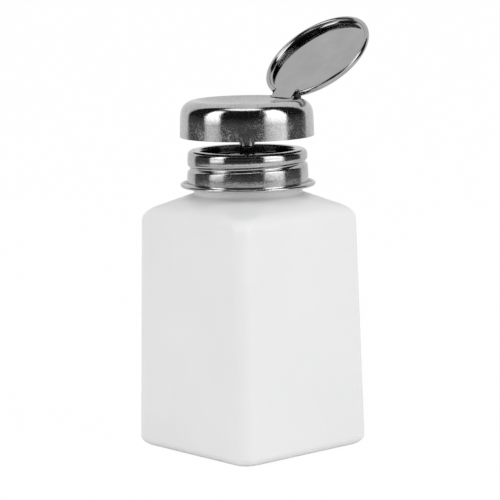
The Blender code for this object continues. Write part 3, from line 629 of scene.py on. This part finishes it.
def carve(item, points, faces, operation="DIFFERENCE"):
    """Cuts or joins a closed shape, given in millimetres, and keeps the result as plain mesh."""
    tool = add_object("carver", closed_mesh("carver", points, faces))
    step = item.modifiers.new("carve", "BOOLEAN")
    step.operation = operation
    step.solver = "EXACT"
    step.object = tool
    bpy.context.view_layer.update()
    graph = bpy.context.evaluated_depsgraph_get()
    result = bpy.data.meshes.new_from_object(item.evaluated_get(graph))
    item.modifiers.clear()
    item.data = result
    bpy.data.objects.remove(tool)
    smooth(item.data)


def paint_inner_shade(item, hidden):
    """Gives near-black steel, a painted shade, to the faces for which hidden(centre, normal)
    holds.
    """
    item.data.materials.append(INNER_SHADE_STEEL)
    for face in item.data.polygons:
        if hidden(face.center / MM, face.normal):
            face.material_index = 1


# Bottle


def rounded_square(half_side, radius, height, steps=14, run=3):
    """Points round a square with round corners, with a few points along each side."""
    reach = half_side - radius

    def corner_point(turn, angle):
        x = reach * (math.cos(turn) - math.sin(turn))
        y = reach * (math.cos(turn) + math.sin(turn))
        return x + radius * math.cos(angle), y + radius * math.sin(angle), height

    points = []
    for corner in range(4):
        turn = QUARTER * corner
        points += [corner_point(turn, turn + QUARTER * k / steps) for k in range(steps + 1)]
        after = turn + QUARTER
        a, b = Vector(points[-1]), Vector(corner_point(after, after))
        points += [tuple(a + (b - a) * k / (run + 1)) for k in range(1, run + 1)]
    return points


def mix(first, middle, last, share):
    """A row on the curve from first to last that middle draws towards itself."""
    near = [a + (b - a) * share for a, b in zip(first, middle)]
    far = [a + (b - a) * share for a, b in zip(middle, last)]
    return tuple(a + (b - a) * share for a, b in zip(near, far))


def along(first, last, distance):
    """The row at a distance from the first one, on the straight way to the last."""
    length = math.hypot(last[0] - first[0], last[2] - first[2])
    return tuple(a + (b - a) * distance / length for a, b in zip(first, last))


def straight(first, last, steps):
    """Rows from the first one up to, but without, the last."""
    return [tuple(a + (b - a) * k / steps for a, b in zip(first, last)) for k in range(steps)]


def bottle_rows():
    """Half side, corner radius and height of each row, from the foot to the neck's root."""
    base, top = BASE_SIDE / 2, TOP_SIDE / 2
    rows = []
    for angle in (QUARTER * k / FOOT_STEPS for k in range(FOOT_STEPS)):
        rows.append((base - FOOT_RADIUS * (1 - math.sin(angle)), CORNER_RADIUS,
                     FOOT_RADIUS * (1 - math.cos(angle))))
    lean = (base - top) * FOOT_RADIUS / BODY_HEIGHT
    start = (base - lean, CORNER_RADIUS, FOOT_RADIUS)
    edge = (top, CORNER_RADIUS, BODY_HEIGHT)
    neck = (NECK_RADIUS, NECK_RADIUS, NECK_FOOT)
    wall_end = along(edge, start, SHOULDER_ROUND)
    rows += straight(start, wall_end, WALL_STEPS)
    slope_start = along(edge, neck, SHOULDER_ROUND)
    rows += [mix(wall_end, edge, slope_start, k / EDGE_STEPS) for k in range(EDGE_STEPS)]
    slope_end = along(neck, edge, NECK_ROUND)
    rows += straight(slope_start, slope_end, SLOPE_STEPS)
    neck_start = (NECK_RADIUS, NECK_RADIUS, NECK_FOOT + NECK_ROUND)
    rows += [mix(slope_end, neck, neck_start, k / ROOT_STEPS) for k in range(ROOT_STEPS + 1)]
    return rows


def inner_row(half_side, radius, height):
    """The row on the inside of the wall, lifted off the foot by the floor."""
    if height <= FOOT_RADIUS:
        height = BOTTLE_WALL + height * (1 - BOTTLE_WALL / FOOT_RADIUS)
    return half_side - BOTTLE_WALL, max(radius - BOTTLE_WALL, INNER_CORNER_LEAST), height


def neck_rows():
    """Radius and height of each row up the neck and over its round rim."""
    crown = NECK_TOP - NECK_LIP
    rows = [(NECK_RADIUS, z) for z in np.linspace(NECK_STRAIGHT, crown, 8)]
    rows += [(NECK_RADIUS - NECK_LIP + NECK_LIP * math.cos(a), crown + NECK_LIP * math.sin(a))
             for a in np.radians([30.0, 60.0, 90.0])]
    rows += [(NECK_BORE + NECK_LIP - NECK_LIP * math.sin(a), crown + NECK_LIP * math.cos(a))
             for a in np.radians([0.0, 30.0, 60.0, 90.0])]
    return rows


def make_bottle():
    body = bottle_rows()
    rows = [rounded_square(*row) for row in body]
    rows += [rounded_square(radius, radius, height) for radius, height in neck_rows()]
    rows += [rounded_square(*inner_row(*row)) for row in reversed(body)]
    width = len(rows[0])
    points = [p for row in rows for p in row]
    last = len(points) - width
    faces = [tuple(reversed(range(width)))] + side_faces(len(rows), width)
    faces.append(tuple(range(last, last + width)))
    build("bottle_shell", points, faces, PLASTIC, "bottle_body", "bottle_plastic", ["bottle"],
          sharp=50.0)


def make_thread():
    """The ridge that winds up the neck, running out at both ends."""
    low = THREAD_TOP - PITCH * THREAD_TURNS
    over = THREAD_CREST / 2 + ROLL_HALF_WIDTH / 2 + GAP
    start = ROLL_MIDDLE_ANGLE + TAU * (low - ROLL_Z - over) / PITCH
    section = THREAD_FLANK + [(-a, b) for a, b in reversed(THREAD_FLANK)]
    points = []
    for i in range(THREAD_STEPS + 1):
        share = i / THREAD_STEPS
        turn = start + TAU * THREAD_TURNS * share
        rise = low + PITCH * THREAD_TURNS * share
        run_out = min(1.0, share / THREAD_RUN_OUT, (1 - share) / THREAD_RUN_OUT)
        run_out = run_out * run_out * (3 - 2 * run_out)
        for across, out in section:
            depth = (CREST_RADIUS - NECK_RADIUS + THREAD_SINK) * out * run_out
            radius = NECK_RADIUS - THREAD_SINK + depth
            points.append((radius * math.cos(turn), radius * math.sin(turn),
                           rise + across * THREAD_ROOT * THREAD_SPREAD))
    faces = closed_faces(THREAD_STEPS + 1, len(section))
    build("neck_thread", points, faces, PLASTIC, "bottle_body", "bottle_plastic", sharp=60.0)


# Collar


def wall_radius(height):
    """Radius of the side, which leans out from the bead to the band."""
    low = FLANGE_Z + 2 * CURL_RADIUS
    share = np.clip((SIDE_TOP - height) / (SIDE_TOP - low), 0.0, 1.0)
    return BEAD_RADIUS + (BAND_RADIUS - BEAD_RADIUS) * share


def roll_depth(angle, height):
    """How far the rolled thread draws the collar's side in."""
    depth = np.zeros_like(height)
    for turn in (-1, 0, 1, 2):
        wound = (angle + TAU * turn - ROLL_MIDDLE_ANGLE) / TAU
        away = np.abs(height - (ROLL_Z + PITCH * wound))
        inside = (np.abs(wound) <= ROLL_TURNS / 2) & (away <= ROLL_HALF_WIDTH)
        fade = np.clip((ROLL_TURNS / 2 - np.abs(wound)) / ROLL_FADE_TURNS, 0.0, 1.0)
        bump = np.cos(math.pi / 2 * np.clip(away / ROLL_HALF_WIDTH, 0, 1)) ** 2
        pressed = fade * bump * (wall_radius(height) - ROLL_RADIUS)
        depth = np.maximum(depth, np.where(inside, pressed, 0.0))
    return depth


def collar_warp(radius, height, angle):
    """Presses the rolled thread in, and lets the bead over it and the band under it swell."""
    outside = radius > BOWL_RADIUS + BOWL_ROUND + RIM_ROUND
    side = outside & (height > SIDE_FOOT) & (height < SIDE_TOP)
    turn = np.where(angle > math.pi, angle - TAU, angle)
    wound = turn - ROLL_MIDDLE_ANGLE + TAU * (turn < ROLL_MIDDLE_ANGLE - math.pi)
    roll = ROLL_Z + PITCH * wound / TAU
    band_top = np.minimum(roll, ROLL_Z + PITCH / 2) - ROLL_HALF_WIDTH
    share = np.clip((height - SIDE_FOOT) / (band_top - SIDE_FOOT), 0.0, 1.0)
    foot = np.clip((height - SIDE_FOOT) / BAND_FADE, 0.0, 1.0)
    swell = BAND_SWELL * (1 - share**3) * foot
    bead_low = roll + ROLL_HALF_WIDTH
    half = np.maximum((SIDE_TOP - bead_low) / 2, BEAD_LEAST)
    away = np.clip((height - bead_low - half) / half, -1.0, 1.0)
    swell = swell + BEAD_SWELL * (1 - away**2) ** 2
    return np.where(side, radius - roll_depth(turn, height) + swell, radius), height


def make_collar():
    """The path runs from the bowl's hole over the rim, and down the side to the flange's curl."""
    path = [(BOWL_HOLE, BOWL_Z)]
    path += arc((BOWL_RADIUS - BOWL_ROUND, BOWL_Z + BOWL_ROUND), BOWL_ROUND, -90.0, 0.0, 8)
    path += arc((BOWL_RADIUS + BOWL_ROUND, RIM_Z - BOWL_ROUND), BOWL_ROUND, 180.0, 90.0, 8)
    path += arc((BEAD_RADIUS - RIM_ROUND, SIDE_TOP), RIM_ROUND, 90.0, 0.0)
    path = guard(path)
    path += [(float(wall_radius(z)), float(z))
             for z in np.linspace(SIDE_TOP, SIDE_FOOT, SIDE_ROWS)[1:-1]]
    path += arc((BAND_RADIUS + FLARE_RADIUS, SIDE_FOOT), FLARE_RADIUS, 180.0, 270.0, 7)
    path += arc((FLANGE_RADIUS - CURL_RADIUS, WEB_Z), CURL_RADIUS, 180.0, -90.0, 24)
    collar = turned("collar_shell", sheet(path, SHEET), COLLAR_STEEL, "collar_body",
                    "polished_steel", ["screw_collar"], FINE_SIDES, collar_warp, sharp=40.0)
    # The collar's bowl, hidden under the cup, takes the painted shade
    paint_inner_shade(collar, lambda centre, normal: centre.z < INNER_SHADE_TOP
               and math.hypot(centre.x, centre.y) < INNER_SHADE_RADIUS)


# Pump


def make_guide_bush():
    turned("guide_bush_detail", soften(BUSH_OUTLINE), PUMP_PLASTIC, "pump_body", "pump_plastic",
           ["guide_bush"])


def make_stem():
    low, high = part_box("stem")
    outline = ring(STEM_BORE, STEM_RADIUS, low.z / MM, high.z / MM)
    turned("stem_tube", soften(outline), STEM_STEEL, "head_body", "polished_steel", ["stem"])


def make_spring():
    """A coil of round wire, wound over the height of the spring part."""
    low, high = (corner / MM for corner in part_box("return_spring"))
    thick = SPRING_WIRE / 2
    radius = high.x - thick
    start = low.z + thick
    rise = high.z - low.z - SPRING_WIRE
    steps = SPRING_TURNS * SPRING_SEGMENTS
    points = []
    for i in range(steps + 1):
        turn = TAU * SPRING_TURNS * i / steps
        for k in range(SPRING_SIDES):
            out = radius + thick * math.cos(TAU * k / SPRING_SIDES)
            up = thick * math.sin(TAU * k / SPRING_SIDES)
            points.append((out * math.cos(turn), out * math.sin(turn),
                           start + rise * i / steps + up))
    coil = build("return_spring_coil", points, closed_faces(steps + 1, SPRING_SIDES), VALVE_STEEL,
                 "pump_body", "polished_steel", ["return_spring"])
    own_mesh(coil)


# Cup and nozzle


def dish_z(radius):
    """Height of the dish, flat in the middle and steeper towards the rim."""
    return CUP_TOP - DISH_DEPTH * (1 - (radius / DISH_RADIUS) ** DISH_POWER)


def cup_side():
    """The round edge, which eases into the side over a wider arc, and the side down to its end."""
    ease = FILLET_EASE
    start = CUP_RADIUS - TIGHT_FILLET * math.cos(ease) - WIDE_FILLET * (1 - math.cos(ease))
    low = CUP_TOP - TIGHT_FILLET
    path = arc((start, low), TIGHT_FILLET, 90.0, math.degrees(ease), 26)
    turn = (start + TIGHT_FILLET * math.cos(ease), low + TIGHT_FILLET * math.sin(ease))
    centre = (turn[0] - WIDE_FILLET * math.cos(ease), turn[1] - WIDE_FILLET * math.sin(ease))
    path += arc(centre, WIDE_FILLET, math.degrees(ease), 0.0, 8)[1:]
    return path + guard([path[-1], (CUP_RADIUS + CUP_DRAFT, CUP_BOTTOM)])[1:]


def inside_cup(centre, normal):
    """True for the skirt's inner face and for the underside of the top, which take the painted
    shade.
    """
    radius = math.hypot(centre.x, centre.y)
    out = (normal.x * centre.x + normal.y * centre.y) / max(radius, 1.0)
    skirt = radius > CUP_INNER and out < -0.3 and centre.z < CUP_TOP - CUP_SHEET
    return skirt or (normal.z < -0.2 and centre.z > CUP_BOTTOM + 0.1)


def make_cup():
    """The tab sweeps a trough out of the rim, and each ear stands in a slit beside it."""
    path = [(r, dish_z(r)) for r in np.linspace(CUP_HOLE, DISH_RADIUS, DISH_ROWS)[:-1].tolist()]
    cup = turned("cup_shell", sheet(path + cup_side(), CUP_SHEET), CUP_STEEL, "head_body",
                 "polished_steel", ["cup"], FINE_SIDES)
    half = (EAR_INNER + STRAP_WIDTH / 2) / 2
    carve(cup, *rod(SWEEP_RADIUS, -half, half, 72, "X", (HINGE_Y, HINGE_Z)))
    rear = HINGE_Y + EAR_RADIUS + GAP
    for ends in ((-SLOT_HALF_WIDTH, SLIT_OVERLAP - half), (half - SLIT_OVERLAP, SLOT_HALF_WIDTH)):
        carve(cup, *block((ends[0], SLIT_FRONT, DISH_Z - SLIT_DEPTH), (ends[1], rear, HINGE_Z)))
    # The skirt's inner face and the top's underside take the painted shade
    paint_inner_shade(cup, inside_cup)


def make_nozzle():
    """The outlet's flat head lies in the middle of the dish and thins out to its edge."""
    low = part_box("nozzle")[0].z / MM
    outline = [(0.0, NOZZLE_TOP), (NOZZLE_RADIUS - 1.0, NOZZLE_TOP - 0.05),
               (NOZZLE_RADIUS - 0.1, NOZZLE_TOP - 0.25), (NOZZLE_RADIUS, NOZZLE_FOOT),
               (SHANK_RADIUS, NOZZLE_FOOT), (SHANK_RADIUS, low), (SHANK_BORE, low),
               (SHANK_BORE, NOZZLE_FOOT), (0.0, NOZZLE_FOOT)]
    nozzle = turned("nozzle_head", soften(outline, 0.2), CUP_STEEL, "head_body", "polished_steel",
                    ["nozzle"])
    for k in range(NOZZLE_HOLES):
        turn = TAU * k / NOZZLE_HOLES
        centre = (NOZZLE_HOLE_CIRCLE * math.cos(turn), NOZZLE_HOLE_CIRCLE * math.sin(turn))
        carve(nozzle, *rod(NOZZLE_HOLE_RADIUS, DISH_Z - 1.0, NOZZLE_TOP + 1.0, 24, centre=centre))


# Hinge and lid


def make_bracket():
    """The bracket lies under the dish, and its two ears come up through the slits."""
    base_top = dish_z(BRACKET_INNER) - CUP_SHEET - GAP
    path = [(BRACKET_INNER, base_top), (HINGE_Y + EAR_RADIUS, base_top)]
    bracket = build("hinge_bracket_detail", *plate(folded(path, BRACKET_SHEET), EAR_OUTER),
                    LID_STEEL, "head_body", "polished_steel", ["hinge_bracket"])
    foot = base_top - BRACKET_SHEET / 2
    ear = [(HINGE_Y + EAR_RADIUS - EAR_INSET, foot)]
    ear += arc((HINGE_Y, HINGE_Z), EAR_RADIUS - EAR_INSET, 0.0, 180.0, 24)
    ear += [(HINGE_Y - EAR_RADIUS - EAR_SPREAD, foot)]
    points, faces = plate(ear, (EAR_OUTER - EAR_INNER) / 2 - EAR_INSET)
    for side in (-1, 1):
        middle = side * (EAR_INNER + EAR_OUTER) / 2
        carve(bracket, [(x + middle, y, z) for x, y, z in points], faces, "UNION")
    reach = EAR_OUTER + 1
    carve(bracket, *rod(EAR_BORE, -reach, reach, 40, "X", (HINGE_Y, HINGE_Z)))


def make_pin():
    half = PIN_HALF_LENGTH
    outline = [(0.0, half), (PIN_RADIUS, half), (PIN_RADIUS, -half), (0.0, -half)]
    points, faces = turned_points(soften(outline, 0.15, 5), 48)
    points = [(z, HINGE_Y + x, HINGE_Z + y) for x, y, z in points]
    build("hinge_pin_detail", points, faces, VALVE_STEEL, "head_body", "polished_steel",
          ["hinge_pin"])


def strap_outline(panel):
    """Section of the strap, about the hinge's axis and under a panel at this height.

    It joggles down from the panel, rolls round the pin and ends in a tab with a turned-up lip.
    """
    under = -KNUCKLE_RADIUS
    over = under + LID_SHEET
    tab = [(TAB_LENGTH - TAB_EASE, 0.0), (TAB_LENGTH, TAB_EASE)]
    tab += arc((TAB_LENGTH - LID_SHEET / 2, LIP_HEIGHT), LID_SHEET / 2, 0.0, 180.0, 8)
    tab += [(TAB_LENGTH - LID_SHEET, LID_SHEET), (TAB_START, LID_SHEET)]
    bend_cos, bend_sin = math.cos(TAB_BEND), math.sin(TAB_BEND)
    outline = [(-JOGGLE_ROOT - LID_SHEET, panel + STRAP_OVERLAP), (-JOGGLE_FOOT, under),
               (0.0, under)]
    outline += [(a * bend_cos - b * bend_sin, under + a * bend_sin + b * bend_cos) for a, b in tab]
    rise = under + TAB_START * bend_sin + LID_SHEET * bend_cos
    start = math.degrees(math.asin(rise / KNUCKLE_RADIUS))
    end = 180.0 - math.degrees(math.asin(over / KNUCKLE_RADIUS))
    outline += arc((0.0, 0.0), KNUCKLE_RADIUS, start, end, 40)
    outline += [(-JOGGLE_INNER_FOOT, over),
                (-JOGGLE_ROOT + STRAP_OVERLAP, panel + 2 * STRAP_OVERLAP)]
    return outline


def make_lid():
    """The lid is drawn shut on its hinge axis, and then swung open."""
    low = -KNUCKLE_RISE
    top = low + LID_HEIGHT
    path = [(0.0, top), (LID_RADIUS * 0.5, top)]
    path += arc((LID_RADIUS - LID_EDGE_ROUND, top - LID_EDGE_ROUND), LID_EDGE_ROUND, 90.0, 0.0, 14)
    reach = LID_RING_WIDTH / 2
    path += [(LID_RADIUS - reach + reach * math.cos(t), low + HEM_ROUND - HEM_ROUND * math.sin(t))
             for t in np.radians(np.linspace(0.0, 180.0, 25))]
    points, faces = turned_points(sheet(path, LID_SHEET), FINE_SIDES)
    points = [(x, y - HINGE_Y, z) for x, y, z in points]
    lid = build("lid_shell", points, faces, LID_STEEL, "lid_body", "polished_steel", ["lid"])
    notch = -EAR_RADIUS - 2 * GAP
    for side in (-1, 1):
        ends = sorted((side * STRAP_WIDTH / 2, side * NOTCH_HALF_WIDTH))
        carve(lid, *block((ends[0], notch, -LID_RADIUS), (ends[1], LID_RADIUS, LID_RADIUS)))
    strap = plate(strap_outline(top - LID_SHEET), STRAP_WIDTH / 2 - STRAP_INSET)
    carve(lid, *strap, "UNION")
    carve(lid, *rod(KNUCKLE_BORE, -STRAP_WIDTH, STRAP_WIDTH, 40, "X"))
    place = Matrix.Translation((0.0, HINGE_Y * MM, HINGE_Z * MM))
    lid.data.transform(place @ Matrix.Rotation(-OPEN_ANGLE, 4, "X"))


def give_cad_materials():
    """The inner pieces keep their own shape and take a fuller material."""
    chosen = (
        (FOAM, ("neck_gasket", "cylinder_washer", "hub_washer")),
        (RUBBER, ("stem_seal",)),
        (PUMP_PLASTIC, ("pump_cylinder", "inlet_cage", "piston", "cup_hub")),
        (TUBE_PLASTIC, ("dip_tube",)),
        (VALVE_STEEL, ("inlet_ball", "outlet_ball")),
    )
    for material, names in chosen:
        for name in names:
            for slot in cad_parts[name].material_slots:
                slot.material = material


# Studio


def camera_axes():
    """The camera's ways back, right and up, before its aim and roll."""
    a, e = CAMERA_AZIMUTH, CAMERA_ELEVATION
    back = Vector((math.sin(a) * math.cos(e), -math.cos(a) * math.cos(e), math.sin(e)))
    right = Vector((math.cos(a), math.sin(a), 0.0))
    return back, right, back.cross(right)


def level_axes():
    """The camera's way back, laid level, and its way right."""
    back, right, _ = camera_axes()
    return Vector((back.x, back.y, 0.0)).normalized(), right


def make_camera():
    back, right, up = camera_axes()
    centre = Vector((0.0, 0.0, FIT_CENTRE))
    place = centre + back * CAMERA_DISTANCE
    aim = centre + up * AIM_RISE + right * AIM_SIDE
    look = (place - aim).normalized()
    side = Vector((0.0, 0.0, 1.0)).cross(look).normalized()
    axes = Matrix((side, look.cross(side), look)).transposed().to_4x4()
    data = bpy.data.cameras.new("camera")
    data.sensor_width = CAMERA_SENSOR
    data.lens = CAMERA_LENS
    data.clip_start = CLIP_START
    data.clip_end = CLIP_END
    made = add_object("camera", data)
    roll = Matrix.Rotation(-CAMERA_ROLL, 4, "Z")
    made.matrix_world = Matrix.Translation(place * MM) @ axes @ roll
    bpy.context.scene.camera = made


def ramp(value, low, high):
    """0 below low, 1 above high and a straight rise between."""
    return np.clip((value - low) / (high - low), 0.0, 1.0)


def band(value, low, high, soft):
    """1 between low and high, with edges this soft."""
    return ramp(value, low - soft, low + soft) * (1 - ramp(value, high - soft, high + soft))


def surround_glow(azimuth, elevation):
    """Brightness of the studio, in degrees from the camera towards its right and upwards."""
    level = ramp(elevation, -6.0, 9.0)
    ground = 1 - ramp(elevation, -20.0, -10.0)

    # The room in front is dark and the backdrop pale
    opening = band(azimuth, -119.0, 119.0, 2.5) * (1 - ramp(elevation, 72.0, 84.0))
    dark = 0.012 + 0.11 * (1 - ramp(elevation, -9.0, 9.0))
    glow = BACKDROP_GLOW * (1 - opening) + dark * opening

    # Left softbox, which narrows upwards
    left = band(azimuth, -75.0 + 0.05 * elevation, -46.0 - 0.10 * elevation, 2.0)
    left = left * (1 - ramp(elevation, 46.0, 58.0))
    left_power = 0.50 - 0.35 * ramp(azimuth, -68.0, -46.0) * (1 - level)
    left_power = left_power + 1.6 * level - 0.2 * ground
    glow = glow * (1 - left) + left_power * left

    # Right softbox, which narrows too and is brighter towards its outer side
    right_start = 31.0 + 0.15 * ramp(elevation, 0.0, 60.0) * 60.0
    right = band(azimuth, right_start, 71.0, 2.0) * (1 - ramp(elevation, 50.0, 60.0))
    right_power = 0.20 + 0.65 * ramp(azimuth, 28.0, 62.0) + 1.5 * level
    right_power = right_power - 0.45 * ground
    glow = glow * (1 - right) + right_power * right

    # Strip light overhead
    strip = band(azimuth, -80.0, 52.0, 6.0) * band(elevation, 65.0, 81.0, 3.0)
    return np.maximum(glow, 1.8 * strip)


def make_surround():
    """A ring of cards, softboxes and backdrop that only the polished metal sees."""
    azimuths = np.linspace(-180.0, 180.0, CARDS_COLUMNS + 1)
    elevations = np.linspace(-40.0, 90.0, CARDS_ROWS + 1)
    azimuth, elevation = np.meshgrid(azimuths, elevations)
    flat, right = level_axes()
    a, e = np.radians(azimuth), np.radians(elevation)
    x = np.cos(e) * (np.cos(a) * flat.x + np.sin(a) * right.x) * CARDS_RADIUS
    y = np.cos(e) * (np.cos(a) * flat.y + np.sin(a) * right.y) * CARDS_RADIUS
    z = np.sin(e) * CARDS_RADIUS + CARDS_CENTRE
    points = np.stack([x, y, z], -1).reshape(-1, 3) * MM
    wide = CARDS_COLUMNS + 1
    corners = (0, 1, wide + 1, wide)
    faces = [tuple(i * wide + k + corner for corner in corners)
             for i in range(CARDS_ROWS) for k in range(CARDS_COLUMNS)]
    mesh = bpy.data.meshes.new("surround")
    mesh.from_pydata(points.tolist(), [], faces)
    glow = mesh.attributes.new("glow", "FLOAT", "POINT")
    glow.data.foreach_set("value", surround_glow(azimuth, elevation).astype(np.float32).ravel())
    material = bpy.data.materials.new("studio_cards")
    material.use_nodes = True
    nodes = Nodes(material.node_tree)
    material.node_tree.nodes.clear()
    output = nodes.add("ShaderNodeOutputMaterial")
    shine = nodes.add("ShaderNodeEmission")
    reader = nodes.add("ShaderNodeAttribute", attribute_name="glow")
    nodes.link(reader.outputs["Fac"], shine.inputs["Strength"])
    nodes.link(shine.outputs["Emission"], output.inputs["Surface"])
    mesh.materials.append(material)
    made = add_object("surround", mesh)
    for name in ("camera", "diffuse", "transmission", "shadow", "volume_scatter"):
        setattr(made, "visible_" + name, False)


def make_floor():
    """A matt floor that keeps the shadow faint and shines white to the camera."""
    mesh = bpy.data.meshes.new("floor")
    corners = [(-1, -1), (1, -1), (1, 1), (-1, 1)]
    mesh.from_pydata([(x * FLOOR_REACH, y * FLOOR_REACH, 0.0) for x, y in corners], [],
                     [(0, 1, 2, 3)])
    material = bpy.data.materials.new("studio_floor")
    material.use_nodes = True
    nodes = Nodes(material.node_tree)
    shader = material.node_tree.nodes["Principled BSDF"]
    shader.inputs["Base Color"].default_value = FLOOR_COLOUR
    shader.inputs["Roughness"].default_value = 0.9
    shader.inputs["Specular IOR Level"].default_value = 0.0
    output = material.node_tree.nodes["Material Output"]
    shine = nodes.add("ShaderNodeEmission")
    shine.inputs["Strength"].default_value = 1.0
    rays = nodes.add("ShaderNodeLightPath")
    share = nodes.math("MULTIPLY", rays.outputs["Is Camera Ray"], FLOOR_GLOW)
    blend = nodes.blend(share, shader.outputs["BSDF"], shine.outputs["Emission"])
    nodes.link(blend, output.inputs["Surface"])
    mesh.materials.append(material)
    add_object("floor", mesh)


def make_world():
    """White to the camera and in metal and glass, and dimmer as a light."""
    world = bpy.data.worlds.new("studio")
    bpy.context.scene.world = world
    world.use_nodes = True
    nodes = Nodes(world.node_tree)
    world.node_tree.nodes.clear()
    output = nodes.add("ShaderNodeOutputWorld")
    rays = nodes.add("ShaderNodeLightPath").outputs
    seen = nodes.math("MAXIMUM", rays["Is Camera Ray"], rays["Is Glossy Ray"])
    clear = nodes.math("MAXIMUM", seen, rays["Is Transmission Ray"])
    skies = []
    for strength in (AMBIENT, 1.0):
        sky = nodes.add("ShaderNodeBackground")
        sky.inputs["Color"].default_value = WHITE
        sky.inputs["Strength"].default_value = strength
        skies.append(sky.outputs["Background"])
    nodes.link(nodes.blend(clear, *skies), output.inputs["Surface"])


def make_lamp(name, azimuth, elevation, size, watts):
    """A soft area lamp, azimuth from the camera towards its right."""
    flat, right = level_axes()
    a, e = math.radians(azimuth), math.radians(elevation)
    level = flat * (math.cos(e) * math.cos(a)) + right * (math.cos(e) * math.sin(a))
    way = level + Vector((0.0, 0.0, math.sin(e)))
    data = bpy.data.lights.new(name, "AREA")
    data.size = size * MM
    data.energy = watts
    lamp = add_object(name, data)
    lamp.location = (Vector((0.0, 0.0, LAMP_AIM)) + way * LAMP_DISTANCE) * MM
    lamp.rotation_mode = "QUATERNION"
    lamp.rotation_quaternion = way.to_track_quat("Z", "Y")
    lamp.visible_glossy = False
    lamp.visible_camera = False


make_bottle()
make_thread()
make_collar()
make_guide_bush()
make_stem()
make_spring()
make_cup()
make_nozzle()
make_bracket()
make_pin()
make_lid()
give_cad_materials()
make_camera()
make_surround()
make_floor()
make_world()
make_lamp("key_lamp", 55.0, 35.0, 500.0, 1.9)
make_lamp("fill_lamp", -60.0, 30.0, 600.0, 1.2)
bpy.context.scene.view_settings.view_transform = "Standard"
